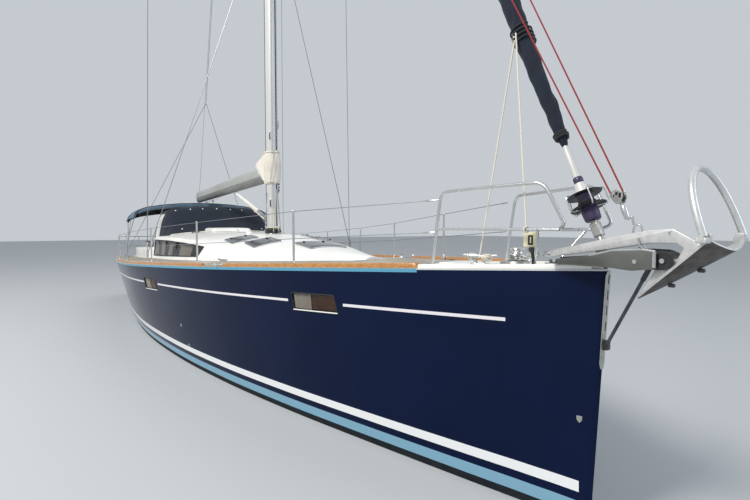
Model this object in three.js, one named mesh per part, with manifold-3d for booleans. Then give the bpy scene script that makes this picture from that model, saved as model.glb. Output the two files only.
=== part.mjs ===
// A decked cruising sloop of fifteen metres: hull with fin keel, spade rudder and saildrive,
// hollow deckhouse, twin-wheel cockpit, deck-stepped mast with swept spreaders, furled genoa,
// boom with vang, anchor on its bow roller, rails, hatches, dodger and bimini.
// Millimetres. X runs forward from mid length, Y to port, Z up from the waterline.

import * as THREE from 'three';
import Module from 'manifold-3d';
import { mergeVertices } from 'three/addons/utils/BufferGeometryUtils.js';

const wasm = await Module();
wasm.setup();

// Driving dimensions

const GAP = 0.3;
const PIN_PLAY = 0.6;
const STAND = 0.5;

const HULL_LENGTH = 15000;
const STEM_X = HULL_LENGTH / 2;
const STEM_Z = 1800;
const STEM_RAKE = 100;
const FOREFOOT_RAKE = 150;
const TRANSOM_RAKE = 400;
const DECK_CAMBER = 0.036;
const DECK_STEPS = 4;
const BOTTOM_STEPS = 6;
const TOPSIDE_STEPS = 3;
const STATION_SPACING = 750;

const RAIL_WIDTH = 45;
const RAIL_HEIGHT = 45;
const RAIL_FRONT_X = 6120;
const RAIL_BACK_X = -6700;
const FAIRLEAD_X = [2800, 3330];
const FAIRLEAD_HEIGHT = 12;
const CAPPING_HEIGHT = 32;
const TEAK_THICK = 8;
const TEAK_MARGIN = 92;
const TEAK_FRONT_X = 5850;

const WALL = 36;
const HOUSE_BACK_X = -3200;
const SALOON = { front: 1950, back: -3100, half: 1120, sole: -150 };
const FORE_CABIN = { front: 3380, back: 2680, half: 300, sole: 700 };

const WELL_SOLE = 820;
const WELL = { front: -3320, back: -5100, half: 550 };
const HELM_WELL = { front: -5100, back: -6600, half: 1270 };
const PASSAGE_HALF = 340;
const COAMING = { front: -3190, back: -6650, inner: 1300, outer: 1600, frontTop: 1600, backTop: 1480 };
const BOARD_THICK = 20;

const MAST_X = 1010;
const MAST_FOOT_Z = 1946;
const MASTHEAD_Z = 18900;
const MAST_FORE_AFT = 260;
const MAST_ATHWART = 170;
const PIN_X = 800;
const GOOSENECK_Z = 3068;
const VANG_FOOT_Z = 2225;
const BOOM_END = { x: -5220, z: 2950 };
const BOOM_WIDTH = 170;
const BOOM_DEPTH = 320;
const VANG_TOP = { x: -1280, drop: 45 };

const CHAINPLATE = { x: 250, y: 1990, z: 1440 };
const STAY_FOOT = { x: 7450, z: 1970 };
const HOUNDS = { x: 1150, z: 16200 };
const BACKSTAY_JOINT = { x: -4160, z: 5430 };
const BACKSTAY_FOOT = { x: -6300, y: 1900, z: 1205 };
const WIRE = 6;

const KEEL_SOLE_Z = -2120;
const RUDDER_X = -5950;
const PROP_Z = -1020;

const FRAME_PIVOT = { x: -5450, y: 1850, z: 1760 };

const LANE_Y = -130;

// Helpers that make closed solids

const vec = (x, y, z) => new THREE.Vector3(x, y, z);

function signedVolume(position, index) {
  const a = new THREE.Vector3();
  const b = new THREE.Vector3();
  const c = new THREE.Vector3();
  let six = 0;
  for (let i = 0; i < index.length; i += 3) {
    a.fromBufferAttribute(position, index[i]);
    b.fromBufferAttribute(position, index[i + 1]);
    c.fromBufferAttribute(position, index[i + 2]);
    six += a.dot(b.cross(c));
  }
  return six / 6;
}

function solid(geometry) {
  const bare = geometry.clone();
  for (const name of Object.keys(bare.attributes)) {
    if (name !== 'position') bare.deleteAttribute(name);
  }
  const merged = mergeVertices(bare, 0.001);
  const all = merged.index.array;
  const kept = [];
  for (let i = 0; i < all.length; i += 3) {
    const [a, b, c] = [all[i], all[i + 1], all[i + 2]];
    if (a !== b && b !== c && c !== a) kept.push(a, b, c);
  }
  if (signedVolume(merged.attributes.position, kept) < 0) kept.reverse();
  return new wasm.Manifold(new wasm.Mesh({
    numProp: 3,
    vertProperties: Float32Array.from(merged.attributes.position.array),
    triVerts: Uint32Array.from(kept),
  }));
}

const join = (...pieces) => pieces.reduce((sum, piece) => sum.add(piece));
const moved = (piece, x, y, z) => piece.translate([x, y, z]);
const mirrored = (piece) => piece.mirror([0, 1, 0]);

// A skin over loops of equal length, closed by flat ends; flat names the two axes that the ends lie in.
function loft(loops, flat = ['y', 'z']) {
  const count = loops[0].length;
  const index = [];
  loops.slice(1).forEach((_, k) => {
    for (let i = 0; i < count; i++) {
      const j = (i + 1) % count;
      const [low, high] = [k * count, (k + 1) * count];
      index.push(low + i, low + j, high + j, low + i, high + j, high + i);
    }
  });
  const close = (loop, base, sense) => {
    const outline = loop.map((p) => new THREE.Vector2(p[flat[0]], p[flat[1]]));
    const turn = Math.sign(THREE.ShapeUtils.area(outline)) * sense;
    for (const face of THREE.ShapeUtils.triangulateShape(outline, [])) {
      const same = Math.sign(THREE.ShapeUtils.area(face.map((i) => outline[i]))) === turn;
      const [a, b, c] = same ? face : [...face].reverse();
      index.push(base + a, base + b, base + c);
    }
  };
  close(loops[0], 0, -1);
  close(loops.at(-1), (loops.length - 1) * count, 1);
  const geometry = new THREE.BufferGeometry().setFromPoints(loops.flat());
  geometry.setIndex(index);
  return solid(geometry);
}

// Prisms: an outline in plan between two heights, or in side view across Y.
function shapeOf(outline) {
  return new THREE.Shape(outline.map(([a, b]) => new THREE.Vector2(a, b)));
}

function extrusion(outline, depth) {
  return new THREE.ExtrudeGeometry(shapeOf(outline), { depth, bevelEnabled: false });
}

function plank(outline, low, high) {
  return solid(extrusion(outline, high - low).translate(0, 0, low));
}

function sidePlate(outline, starboard, port) {
  return solid(extrusion(outline, port - starboard).rotateX(Math.PI / 2).translate(0, port, 0));
}

function block([x0, x1], [y0, y1], [z0, z1]) {
  const box = new THREE.BoxGeometry(x1 - x0, y1 - y0, z1 - z0);
  return solid(box.translate((x0 + x1) / 2, (y0 + y1) / 2, (z0 + z1) / 2));
}

// A round bar or cone between two points.
function bar(from, to, radius, sides = 6, endRadius = radius) {
  const run = to.clone().sub(from);
  const cylinder = new THREE.CylinderGeometry(endRadius, radius, run.length(), sides);
  const turn = new THREE.Quaternion().setFromUnitVectors(vec(0, 1, 0), run.normalize());
  const middle = from.clone().add(to).multiplyScalar(0.5);
  return solid(cylinder.applyQuaternion(turn).translate(middle.x, middle.y, middle.z));
}

// A solid of revolution about Z from [radius, height] pairs.
function turned(profile, sides) {
  const points = profile.map(([r, z]) => new THREE.Vector2(r, z));
  return solid(new THREE.LatheGeometry(points, sides).rotateX(Math.PI / 2));
}

function aimed(piece, from, direction) {
  const turn = new THREE.Quaternion().setFromUnitVectors(vec(0, 0, 1), direction.clone().normalize());
  const matrix = new THREE.Matrix4().compose(from, turn, vec(1, 1, 1));
  return piece.transform([...matrix.elements]);
}

const ellipse = (a, b, count) => Array.from({ length: count }, (_, i) => {
  const angle = (2 * Math.PI * i) / count;
  return [a * Math.cos(angle), b * Math.sin(angle)];
});

// A pipe's middle line as a few rings: two at each straight and a few round each bend.
class PipeLine extends THREE.Curve {
  constructor(corners, bend, bendSteps) {
    super();
    this.rings = [corners[0]];
    corners.slice(1, -1).forEach((corner, k) => {
      const before = corner.clone().sub(corners[k]);
      const after = corners[k + 2].clone().sub(corner);
      const reach = Math.min(bend, before.length() * 0.45, after.length() * 0.45);
      const arc = new THREE.QuadraticBezierCurve3(
        corner.clone().addScaledVector(before.normalize(), -reach),
        corner,
        corner.clone().addScaledVector(after.normalize(), reach),
      );
      this.rings.push(...arc.getPoints(bendSteps));
    });
    this.rings.push(corners.at(-1));
  }

  getPointAt(u) {
    return this.rings[Math.round(u * (this.rings.length - 1))].clone();
  }

  getTangentAt(u) {
    const k = Math.round(u * (this.rings.length - 1));
    const before = this.rings[Math.max(k - 1, 0)];
    const after = this.rings[Math.min(k + 1, this.rings.length - 1)];
    const back = this.rings[k].clone().sub(before).normalize();
    const on = after.clone().sub(this.rings[k]).normalize();
    return back.add(on).normalize();
  }
}

function tube(corners, radius, bend = 90, bendSteps = 3, sides = 6) {
  const line = new PipeLine(corners, bend, bendSteps);
  const ring = ellipse(radius, radius, sides);
  const settings = { steps: line.rings.length - 1, extrudePath: line, bevelEnabled: false };
  return solid(new THREE.ExtrudeGeometry(shapeOf(ring), settings));
}

// The outline or line moved sideways by a distance, with mitred corners.
function offset(points, distance, closed = true) {
  const count = points.length;
  const normal = (k) => {
    const [p, q] = [points[(k + count) % count], points[(k + 1) % count]];
    const length = Math.hypot(q[0] - p[0], q[1] - p[1]);
    return [(q[1] - p[1]) / length, (p[0] - q[0]) / length];
  };
  return points.map(([a, b], k) => {
    const before = normal(closed || k > 0 ? k - 1 : k);
    const after = normal(closed || k < count - 1 ? k : k - 1);
    const stretch = distance / (1 + before[0] * after[0] + before[1] * after[1]);
    return [a + (before[0] + after[0]) * stretch, b + (before[1] + after[1]) * stretch];
  });
}

function blend(table, x, column) {
  const rows = table.toSorted((a, b) => a[0] - b[0]);
  const k = Math.max(1, rows.findIndex((row) => row[0] >= x));
  const [low, high] = [rows[k - 1], rows[k]];
  const t = (x - low[0]) / (high[0] - low[0]);
  return low[column] + (high[column] - low[column]) * t;
}

// More rows between a table's own, on the smooth curve through them, no further apart than the spacing.
function faired(table, spacing) {
  const slope = (k, column) => {
    const low = table[Math.max(k - 1, 0)];
    const high = table[Math.min(k + 1, table.length - 1)];
    return (high[column] - low[column]) / (high[0] - low[0]);
  };
  const rows = [table[0]];
  table.slice(1).forEach((row, k) => {
    const from = table[k];
    const run = row[0] - from[0];
    const steps = Math.max(1, Math.round(Math.abs(run) / spacing));
    for (let i = 1; i <= steps; i++) {
      const t = i / steps;
      const [t2, t3] = [t * t, t ** 3];
      rows.push(row.map((value, column) => (column === 0 ? from[0] + run * t
        : (2 * t3 - 3 * t2 + 1) * from[column] + (3 * t2 - 2 * t3) * value
          + run * ((t3 - 2 * t2 + t) * slope(k, column) + (t3 - t2) * slope(k + 1, column)))));
    }
  });
  return rows;
}

// The yacht and its named pieces

const yacht = new THREE.Group();

function piece(name, body, color, roughness, metalness) {
  const mesh = body.getMesh();
  const geometry = new THREE.BufferGeometry();
  geometry.setAttribute('position', new THREE.BufferAttribute(Float32Array.from(mesh.vertProperties), 3));
  geometry.setIndex([...mesh.triVerts]);
  const flat = geometry.toNonIndexed();
  flat.computeVertexNormals();
  const shown = new THREE.Mesh(flat, new THREE.MeshStandardMaterial({ color, roughness, metalness }));
  shown.name = name;
  yacht.add(shown);
}

const NAVY = [0x0e1a3a, 0.18, 0];
const WHITE = [0xe9eaea, 0.35, 0];
const TEAK_VARNISHED = [0xb5712f, 0.35, 0];
const TEAK_GREY = [0x9a9082, 0.85, 0];
const STAINLESS = [0xc2c4c6, 0.28, 1];
const GALVANISED = [0x9a9d9c, 0.6, 0.8];
const ALUMINIUM = [0xd2d4d4, 0.4, 0.7];
const SMOKED = [0x2a2d30, 0.1, 0];
const CANVAS_NAVY = [0x1d2b47, 0.9, 0];
const CANVAS_GREY_BLUE = [0x5c7083, 0.9, 0];
const CANVAS_CREAM = [0xd8d3c4, 0.9, 0];
const IRON = [0x23262a, 0.8, 0.2];
const BRONZE = [0x8c6a3a, 0.45, 1];
const ENGINE_PAINT = [0x8d9296, 0.5, 0.2];
const BLACK_PLASTIC = [0x1c1d1f, 0.5, 0];

// Hull: a skin over the sections of the table, faired between them, solid except for the cabin, the wells
// and the bores.

// Columns: distance aft of the stem, half beam at deck, deck edge height, half beam at waterline,
// depth of the canoe body, and how veed its bottom is.
const SECTIONS = [
  [0, 26, 1800, 14, 160, 1.4],
  [450, 190, 1776, 118, 300, 1.35],
  [1000, 405, 1748, 300, 390, 1.25],
  [2000, 785, 1698, 625, 490, 1.1],
  [3200, 1185, 1636, 995, 575, 1.0],
  [4600, 1600, 1564, 1360, 630, 0.9],
  [6200, 1955, 1490, 1670, 660, 0.82],
  [8000, 2215, 1408, 1880, 655, 0.76],
  [9800, 2285, 1335, 1935, 570, 0.72],
  [11400, 2240, 1275, 1870, 430, 0.7],
  [12900, 2150, 1228, 1750, 265, 0.7],
  [14100, 2060, 1200, 1610, 115, 0.72],
  [15000, 1985, 1180, 1500, 18, 0.75],
];

const STATIONS = faired(SECTIONS, STATION_SPACING);
const DECK_TABLE = STATIONS.map(([aft, beam, height]) => [STEM_X - aft, beam, height]);
const beamAt = (x) => blend(DECK_TABLE, x, 1);
const sheerAt = (x) => blend(DECK_TABLE, x, 2);
const deckAt = (x, y) => sheerAt(x) + DECK_CAMBER * beamAt(x) * (1 - (y / beamAt(x)) ** 2);

const BOW_SHARE = SECTIONS[1][0];
const STERN_FROM = SECTIONS.at(-2)[0];

function hullLoop([aft, beam, height, waterBeam, depth, veed]) {
  const half = [];
  for (let i = 0; i < BOTTOM_STEPS; i++) {
    const angle = (i / BOTTOM_STEPS) * (Math.PI / 2);
    half.push([waterBeam * Math.sin(angle) ** veed, -depth * Math.cos(angle) ** 1.05]);
  }
  for (let i = 0; i < TOPSIDE_STEPS; i++) {
    const t = i / TOPSIDE_STEPS;
    half.push([waterBeam + (beam - waterBeam) * t ** 0.85, height * t]);
  }
  for (let i = 0; i <= DECK_STEPS; i++) {
    const y = beam * (1 - i / DECK_STEPS);
    half.push([y, height + DECK_CAMBER * beam * (1 - (y / beam) ** 2)]);
  }
  const bow = Math.max(0, 1 - aft / BOW_SHARE);
  const stern = Math.max(0, (aft - STERN_FROM) / (HULL_LENGTH - STERN_FROM));
  const shift = (z) => {
    const stem = z > 0 ? -STEM_RAKE * (1 - z / STEM_Z) : -STEM_RAKE + (FOREFOOT_RAKE * z) / depth;
    return bow * stem + (stern * TRANSOM_RAKE * z) / height;
  };
  const point = (side, [y, z]) => vec(STEM_X - aft + shift(z), side * y, z);
  const port = half.map((p) => point(1, p));
  const starboard = half.slice(1, -1).reverse().map((p) => point(-1, p));
  return [...port, ...starboard];
}

const hullForm = loft(STATIONS.map(hullLoop));
const deckLift = moved(hullForm, 0, 0, GAP);
const seatedOnDeck = (body) => body.subtract(deckLift);
const deckSheet = (outline, thick, low = 1150) =>
  moved(hullForm, 0, 0, GAP + thick).intersect(plank(outline, low, 2400)).subtract(deckLift);

const HIGH = 2500;
const box = (region, low, high = HIGH) =>
  block([region.back, region.front], [-region.half, region.half], [low, high]);

// Topside windows: one parallelogram each side, let into the hull.
const HULL_WINDOW = { outline: [[4605, 1210], [5225, 1238], [5190, 1408], [4580, 1385]], depth: 32 };

const hullWindowPlate = (inset) => sidePlate(offset(HULL_WINDOW.outline, -inset), 0, 2000)
  .subtract(moved(hullForm, 0, inset - HULL_WINDOW.depth, 0));
const hullWindowPane = hullWindowPlate(GAP + 0.2).intersect(hullForm);

// Sunk places in the hull: cabins, cockpit wells, stern passage, lockers and the rudder bore.
const ANCHOR_LOCKER = { front: 6480, back: 6030, half: 190 };
const SEAT_LOCKER = { front: -3700, back: -4700, inner: 680, outer: 1140, sole: 880 };
const seatLocker = (low, high, side, grow = 0) => {
  const along = [SEAT_LOCKER.back - grow, SEAT_LOCKER.front + grow];
  const across = [SEAT_LOCKER.inner - grow, SEAT_LOCKER.outer + grow].map((y) => y * side);
  return block(along, across.sort((a, b) => a - b), [low, high]);
};

const STOCK = { radius: 40, top: 450 };
const hullCuts = [
  box(SALOON, SALOON.sole),
  box(FORE_CABIN, FORE_CABIN.sole),
  box(WELL, WELL_SOLE),
  box(HELM_WELL, WELL_SOLE),
  block([-STEM_X - 100, HELM_WELL.back + 10], [-PASSAGE_HALF, PASSAGE_HALF], [WELL_SOLE, HIGH]),
  box(ANCHOR_LOCKER, 1380),
  seatLocker(SEAT_LOCKER.sole, HIGH, 1),
  seatLocker(SEAT_LOCKER.sole, HIGH, -1),
  bar(vec(RUDDER_X, 0, -400), vec(RUDDER_X, 0, STOCK.top + STAND), STOCK.radius + PIN_PLAY, 32),
  hullWindowPlate(0),
  mirrored(hullWindowPlate(0)),
];
const hull = hullCuts.reduce((body, cut) => body.subtract(cut), hullForm);
piece('hull', hull, ...NAVY);
piece('hull_window_port', hullWindowPane, ...SMOKED);
piece('hull_window_starboard', mirrored(hullWindowPane), ...SMOKED);

// Deck edge: teak toe rail each side with a low stretch at the fairlead, and a white capping at the bow.

const stationsBetween = (back, front) => [
  back,
  ...DECK_TABLE.map(([x]) => x).filter((x) => x > back && x < front).reverse(),
  front,
];

function edgeOutline(back, front, outer, inner) {
  const xs = stationsBetween(back, front);
  const outside = xs.map((x) => [x, beamAt(x) - outer]);
  const inside = xs.map((x) => [x, beamAt(x) - inner]).reverse();
  return [...outside, ...inside];
}

const RAIL_INSET = 6;
for (const [name, side] of [['toe_rail_port', 1], ['toe_rail_starboard', -1]]) {
  const outline = (back, front) => edgeOutline(back, front, RAIL_INSET, RAIL_INSET + RAIL_WIDTH);
  const rail = deckSheet(outline(RAIL_BACK_X, RAIL_FRONT_X), RAIL_HEIGHT);
  const low = deckSheet(outline(FAIRLEAD_X[0], FAIRLEAD_X[1]), HIGH);
  const whole = rail.subtract(moved(low, 0, 0, FAIRLEAD_HEIGHT));
  piece(name, side > 0 ? whole : mirrored(whole), ...TEAK_VARNISHED);
}

const CAPPING = { outer: 4, inner: 64, noseX: 7410, low: 1650 };
const cappingEdge = edgeOutline(RAIL_FRONT_X + 4, CAPPING.noseX, CAPPING.outer, CAPPING.inner);
const cappingSide = deckSheet(cappingEdge, CAPPING_HEIGHT, CAPPING.low);
const CAPPING_NOSE = [[7240, -80], [7240, 80], [7470, 18], [7470, -18]];
const cappingNose = deckSheet(CAPPING_NOSE, CAPPING_HEIGHT, CAPPING.low);
piece('bow_capping', join(cappingSide, mirrored(cappingSide), cappingNose), ...WHITE);

// Deckhouse and coachroof: one hollow moulding with the cockpit coamings and the sliding hatch's garage.

// Columns: x, half width at deck, half width at the roof edge, roof edge height, crown height.
const HOUSE = [
  [-3200, 1500, 1400, 1850, 1965],
  [-2200, 1510, 1400, 1870, 1980],
  [-1000, 1480, 1350, 1872, 1985],
  [300, 1370, 1220, 1848, 1972],
  [1300, 1225, 1060, 1803, 1952],
  [2200, 1040, 850, 1768, 1892],
  [3000, 810, 610, 1738, 1826],
  [3700, 560, 380, 1712, 1776],
  [4520, 240, 120, 1690, 1728],
];
const HOUSE_ROWS = faired(HOUSE, STATION_SPACING);
const ROOF_STEPS = 4;
const FOOT_SINK = 15;
const EDGE_ROUND = 45;

function houseLoop([x, base, edge, edgeZ, crownZ], wall) {
  const half = [
    [base - wall, 400],
    [base - wall, deckAt(x, base) - FOOT_SINK],
    [edge + EDGE_ROUND - wall, edgeZ - EDGE_ROUND - wall / 2],
  ];
  for (let i = 0; i <= ROOF_STEPS; i++) {
    const y = edge * (1 - i / ROOF_STEPS);
    const inner = i === 0 ? y - wall * 0.6 : y;
    half.push([inner, edgeZ + (crownZ - edgeZ) * (1 - (y / edge) ** 2) - wall]);
  }
  const port = half.map(([y, z]) => vec(x, y, z));
  const starboard = half.slice(0, -1).reverse().map(([y, z]) => vec(x, -y, z));
  return [...port, ...starboard];
}

const houseRow = (x) => [x, ...[1, 2, 3, 4].map((column) => blend(HOUSE_ROWS, x, column))];
const roofAt = (x, y) => {
  const [, , edge, edgeZ, crownZ] = houseRow(x);
  return edgeZ + (crownZ - edgeZ) * (1 - (y / edge) ** 2);
};
const houseForm = loft(HOUSE_ROWS.map((row) => houseLoop(row, 0)));
const INNER_FRONT_X = 2600;
const innerRows = [
  houseRow(HOUSE_BACK_X + WALL),
  ...HOUSE_ROWS.filter(([x]) => x > HOUSE_BACK_X + WALL && x < INNER_FRONT_X),
  houseRow(INNER_FRONT_X),
];
const houseInside = loft(innerRows.map((row) => houseLoop(row, WALL)));
const roofLift = moved(houseForm, 0, 0, GAP);

// Openings of the deckhouse: side windows, companionway and roof hatches.
const SIDE_WINDOW = [
  [820, 1578], [930, 1746], [-100, 1782], [-1300, 1798], [-3060, 1780], [-3060, 1418],
];
const windowPlate = (inset) => sidePlate(offset(SIDE_WINDOW, -inset), 700, 1700);
const COMPANIONWAY = { half: 330, sill: 1385, front: -2560 };
const companionCut = join(
  block([HOUSE_BACK_X - 50, HOUSE_BACK_X + 100], [-COMPANIONWAY.half, COMPANIONWAY.half],
    [COMPANIONWAY.sill, HIGH]),
  block([HOUSE_BACK_X - 50, COMPANIONWAY.front], [-COMPANIONWAY.half, COMPANIONWAY.half], [1800, HIGH]),
);

// Columns: name, middle x, middle y, length, width. Each lid lies on the roof and hinges at its front edge.
const ROOF_HATCHES = [
  ['hatch_forward', 3030, 0, 620, 560],
  ['hatch_middle_starboard', 2130, -560, 500, 440],
  ['hatch_middle_port', 2130, 560, 500, 440],
  ['hatch_after_starboard', 1420, -690, 500, 440],
  ['hatch_after_port', 1420, 690, 500, 440],
];
const HATCH_RIM = 45;
const LID_THICK = 22;
const LID_STAND = 0.8;
const lidPlate = (x, y, length, width, inset) => plank([
  [x - length / 2 + inset, y - width / 2 + inset],
  [x + length / 2 - inset, y - width / 2 + inset],
  [x + length / 2 - inset, y + width / 2 - inset],
  [x - length / 2 + inset, y + width / 2 - inset],
], FORE_CABIN.sole, HIGH);

// The garage that the companion hatch slides into, and the coamings that run aft from the house.
const GARAGE = { front: -1720, back: -2500, half: 430, top: 2078, wall: 18 };
const garage = block([GARAGE.back, GARAGE.front], [-GARAGE.half, GARAGE.half], [1850, GARAGE.top])
  .subtract(block([GARAGE.back - 10, GARAGE.front - GARAGE.wall],
    [-GARAGE.half + GARAGE.wall, GARAGE.half - GARAGE.wall], [1850, GARAGE.top - GARAGE.wall]))
  .subtract(houseForm);
const coamingEnd = COAMING.outer - 60;
const coaming = plank([
  [COAMING.back, COAMING.inner], [COAMING.front + 20, COAMING.inner],
  [COAMING.front + 20, COAMING.outer - 130], [COAMING.front - 400, COAMING.outer],
  [COAMING.back + 500, COAMING.outer], [COAMING.back, coamingEnd],
], 1000, COAMING.frontTop).intersect(sidePlate([
  [COAMING.back - 10, 900], [COAMING.front + 40, 900],
  [COAMING.front + 40, COAMING.frontTop], [COAMING.back - 10, COAMING.backTop],
], COAMING.inner - 10, COAMING.outer + 10));

// Rails on the roof that carry the sliding hatch, under its edges and on into the garage.
const SLIDE = { back: HOUSE_BACK_X - 30, front: -2440, half: 385, low: 2012, high: 2040 };
const RAIL_MIDDLE_Y = 362;
const slideRail = (y) => block([HOUSE_BACK_X + 5, GARAGE.front - GARAGE.wall + 5], [y - 14, y + 14],
  [1945, SLIDE.low - GAP]);

// Winches: a base and a drum each, two on the coamings and two on the house, each over a flat pad.
// Columns: name, x, y, height of the pad's top.
const WINCHES = [
  ['winch_cockpit_port', -4650, 1450, 1554],
  ['winch_cockpit_starboard', -4650, -1450, 1554],
  ['winch_house_port', -2800, 780, 1946],
  ['winch_house_starboard', -2800, -780, 1946],
];
const WINCH_PAD = { radius: 92, depth: 50 };
const winchPads = WINCHES.map(([, x, y, z]) =>
  bar(vec(x, y, z - WINCH_PAD.depth), vec(x, y, z), WINCH_PAD.radius, 16));

const houseCuts = [
  houseInside,
  windowPlate(0),
  mirrored(windowPlate(0)),
  companionCut,
  ...ROOF_HATCHES.map(([, x, y, length, width]) => lidPlate(x, y, length, width, HATCH_RIM)),
];
const house = houseCuts.reduce((body, cut) => body.subtract(cut), houseForm);
const moulding = seatedOnDeck(join(house, coaming, mirrored(coaming), ...winchPads))
  .add(join(garage, slideRail(-RAIL_MIDDLE_Y), slideRail(RAIL_MIDDLE_Y)));
piece('deckhouse', moulding, ...WHITE);

const pane = houseForm.subtract(houseInside).intersect(windowPlate(GAP + 0.2));
piece('saloon_window_port', pane, ...SMOKED);
piece('saloon_window_starboard', mirrored(pane), ...SMOKED);

// Roof hatch lids, the sliding companion hatch and the companionway door.
for (const [name, x, y, length, width] of ROOF_HATCHES) {
  const lid = moved(houseForm, 0, 0, LID_THICK + LID_STAND).intersect(lidPlate(x, y, length, width, 0));
  piece(name, lid.subtract(moved(houseForm, 0, 0, LID_STAND)), ...SMOKED);
}

const slidingHatch = block([SLIDE.back, SLIDE.front], [-SLIDE.half, SLIDE.half], [SLIDE.low, SLIDE.high]);
piece('companion_hatch', slidingHatch, ...SMOKED);

const DOOR = { thick: 22, low: 1392, high: 2000, half: COMPANIONWAY.half + 20 };
const doorBack = HOUSE_BACK_X - GAP - DOOR.thick;
const door = block([doorBack, doorBack + DOOR.thick], [-DOOR.half, DOOR.half], [DOOR.low, DOOR.high]);
piece('companion_door', door, ...TEAK_VARNISHED);

// Laid teak on the side decks and foredeck, clear of the house, the coamings and the wells.
const teakHalf = (back, front) => {
  const port = stationsBetween(back, front).map((x) => [x, beamAt(x) - TEAK_MARGIN]);
  return [...port, ...port.map(([x, y]) => [x, -y]).reverse()];
};
const MITRE = 70;
const houseFoot = HOUSE_ROWS.map(([x, base]) => [x, base + MITRE - 20]);
const houseHole = plank([...houseFoot, ...houseFoot.map(([x, y]) => [x, -y]).reverse()], 900, HIGH);
const cockpitReach = COAMING.outer + 50;
const cockpitHole = block([COAMING.back - 100, HOUSE_BACK_X + 10], [-cockpitReach, cockpitReach], [900, HIGH]);
const plateHole = (side) => block([CHAINPLATE.x - 60, CHAINPLATE.x + 130],
  [side * CHAINPLATE.y - 30, side * CHAINPLATE.y + 30], [1000, 1600]);
const footHole = (x, y, radius) => bar(vec(x, y, 1000), vec(x, y, 1600), radius, 8);
const footHoles = [1, -1].flatMap((side) => [
  plateHole(side),
  footHole(BACKSTAY_FOOT.x, side * BACKSTAY_FOOT.y, 32),
  footHole(FRAME_PIVOT.x, side * (FRAME_PIVOT.y + 10), 22),
]);
const teak = [houseHole, cockpitHole, ...footHoles].reduce(
  (body, cut) => body.subtract(cut),
  deckSheet(teakHalf(-6550, TEAK_FRONT_X), TEAK_THICK),
);
piece('teak_deck', teak, ...TEAK_GREY);

// Boards that lift: the anchor locker lid and the two cockpit seat lids.
const LID_LAP = 25;
const anchorLid = [
  [ANCHOR_LOCKER.back - LID_LAP, -ANCHOR_LOCKER.half - LID_LAP],
  [ANCHOR_LOCKER.front + LID_LAP, -ANCHOR_LOCKER.half - LID_LAP],
  [ANCHOR_LOCKER.front + LID_LAP, ANCHOR_LOCKER.half + LID_LAP],
  [ANCHOR_LOCKER.back - LID_LAP, ANCHOR_LOCKER.half + LID_LAP],
];
piece('anchor_locker_lid', deckSheet(anchorLid, BOARD_THICK), ...WHITE);
for (const [name, side] of [['seat_lid_port', 1], ['seat_lid_starboard', -1]]) {
  const board = moved(hullForm, 0, 0, GAP + BOARD_THICK).intersect(seatLocker(900, HIGH, side, LID_LAP));
  piece(name, seatedOnDeck(board), ...TEAK_GREY);
}

// Keel: fin with a flat-soled bulb. Columns: height, leading x, chord, thickness.
const FIN = [
  [-300, 1050, 2300, 300],
  [-700, 960, 2150, 270],
  [-1500, 800, 1850, 220],
  [-1900, 740, 1700, 210],
];
const FOIL = [[0, 0], [0.06, 0.34], [0.2, 0.5], [0.45, 0.46], [0.75, 0.22], [1, 0.03]];
const foilLoop = ([z, lead, chord, thick]) => {
  const port = FOIL.map(([t, w]) => vec(lead - t * chord, w * thick, z));
  const starboard = FOIL.slice(1).reverse().map(([t, w]) => vec(lead - t * chord, -w * thick, z));
  return [...port, ...starboard];
};
const fin = loft(FIN.map(foilLoop), ['x', 'y']);
const BULB = { nose: 1150, tail: -1150, z: -1960, radius: 210 };
const bulbProfile = [[0, 0], [0.4, 0.03], [0.8, 0.14], [1, 0.36], [0.85, 0.62], [0.45, 0.87], [0, 1]];
const bulb = aimed(
  turned(bulbProfile.map(([r, t]) => [r * BULB.radius, t * (BULB.nose - BULB.tail)]), 14),
  vec(BULB.nose, 0, BULB.z), vec(-1, 0, 0),
).subtract(block([-2000, 2000], [-500, 500], [-2600, KEEL_SOLE_Z]));
piece('keel', fin.add(bulb).subtract(moved(hullForm, 0, 0, -GAP)), ...IRON);

// Saildrive leg with its propeller, and the engine as a block on the cabin sole above it.
const LEG = { front: -2800, back: -3080, half: 42 };
const leg = loft([-350, -1050].map((z) => foilLoop([z, LEG.front, LEG.front - LEG.back, 2 * LEG.half])),
  ['x', 'y']);
const GEARCASE = { nose: -2740, back: -3250, radius: 64 };
const gearcase = bar(vec(GEARCASE.back, 0, PROP_Z), vec(GEARCASE.nose, 0, PROP_Z), GEARCASE.radius, 12, 30);
piece('saildrive', leg.add(gearcase).subtract(moved(hullForm, 0, 0, -GAP)), ...ENGINE_PAINT);

const HUB = { front: GEARCASE.back - GAP, back: -3400, radius: 52, blade: 235 };
const hub = bar(vec(HUB.front, 0, PROP_Z), vec(HUB.back, 0, PROP_Z), HUB.radius, 12, 34);
const BLADE_OUTLINE = [[30, -40], [120, -85], [HUB.blade, -45], [HUB.blade + 10, 20], [150, 80], [30, 35]];
function blade(turn) {
  const plate = extrusion(BLADE_OUTLINE, 9).translate(0, 0, -4.5);
  const pitched = plate.rotateX(THREE.MathUtils.degToRad(-62)).rotateY(Math.PI / 2);
  pitched.rotateX(turn).translate((HUB.front + HUB.back) / 2, 0, PROP_Z);
  return solid(pitched);
}
const blades = [0, 1, 2].map((k) => blade((k * 2 * Math.PI) / 3));
piece('propeller', join(hub, ...blades), ...BRONZE);
piece('engine', block([-3020, -2120], [-300, 300], [SALOON.sole + GAP, 560]), ...ENGINE_PAINT);

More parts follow.
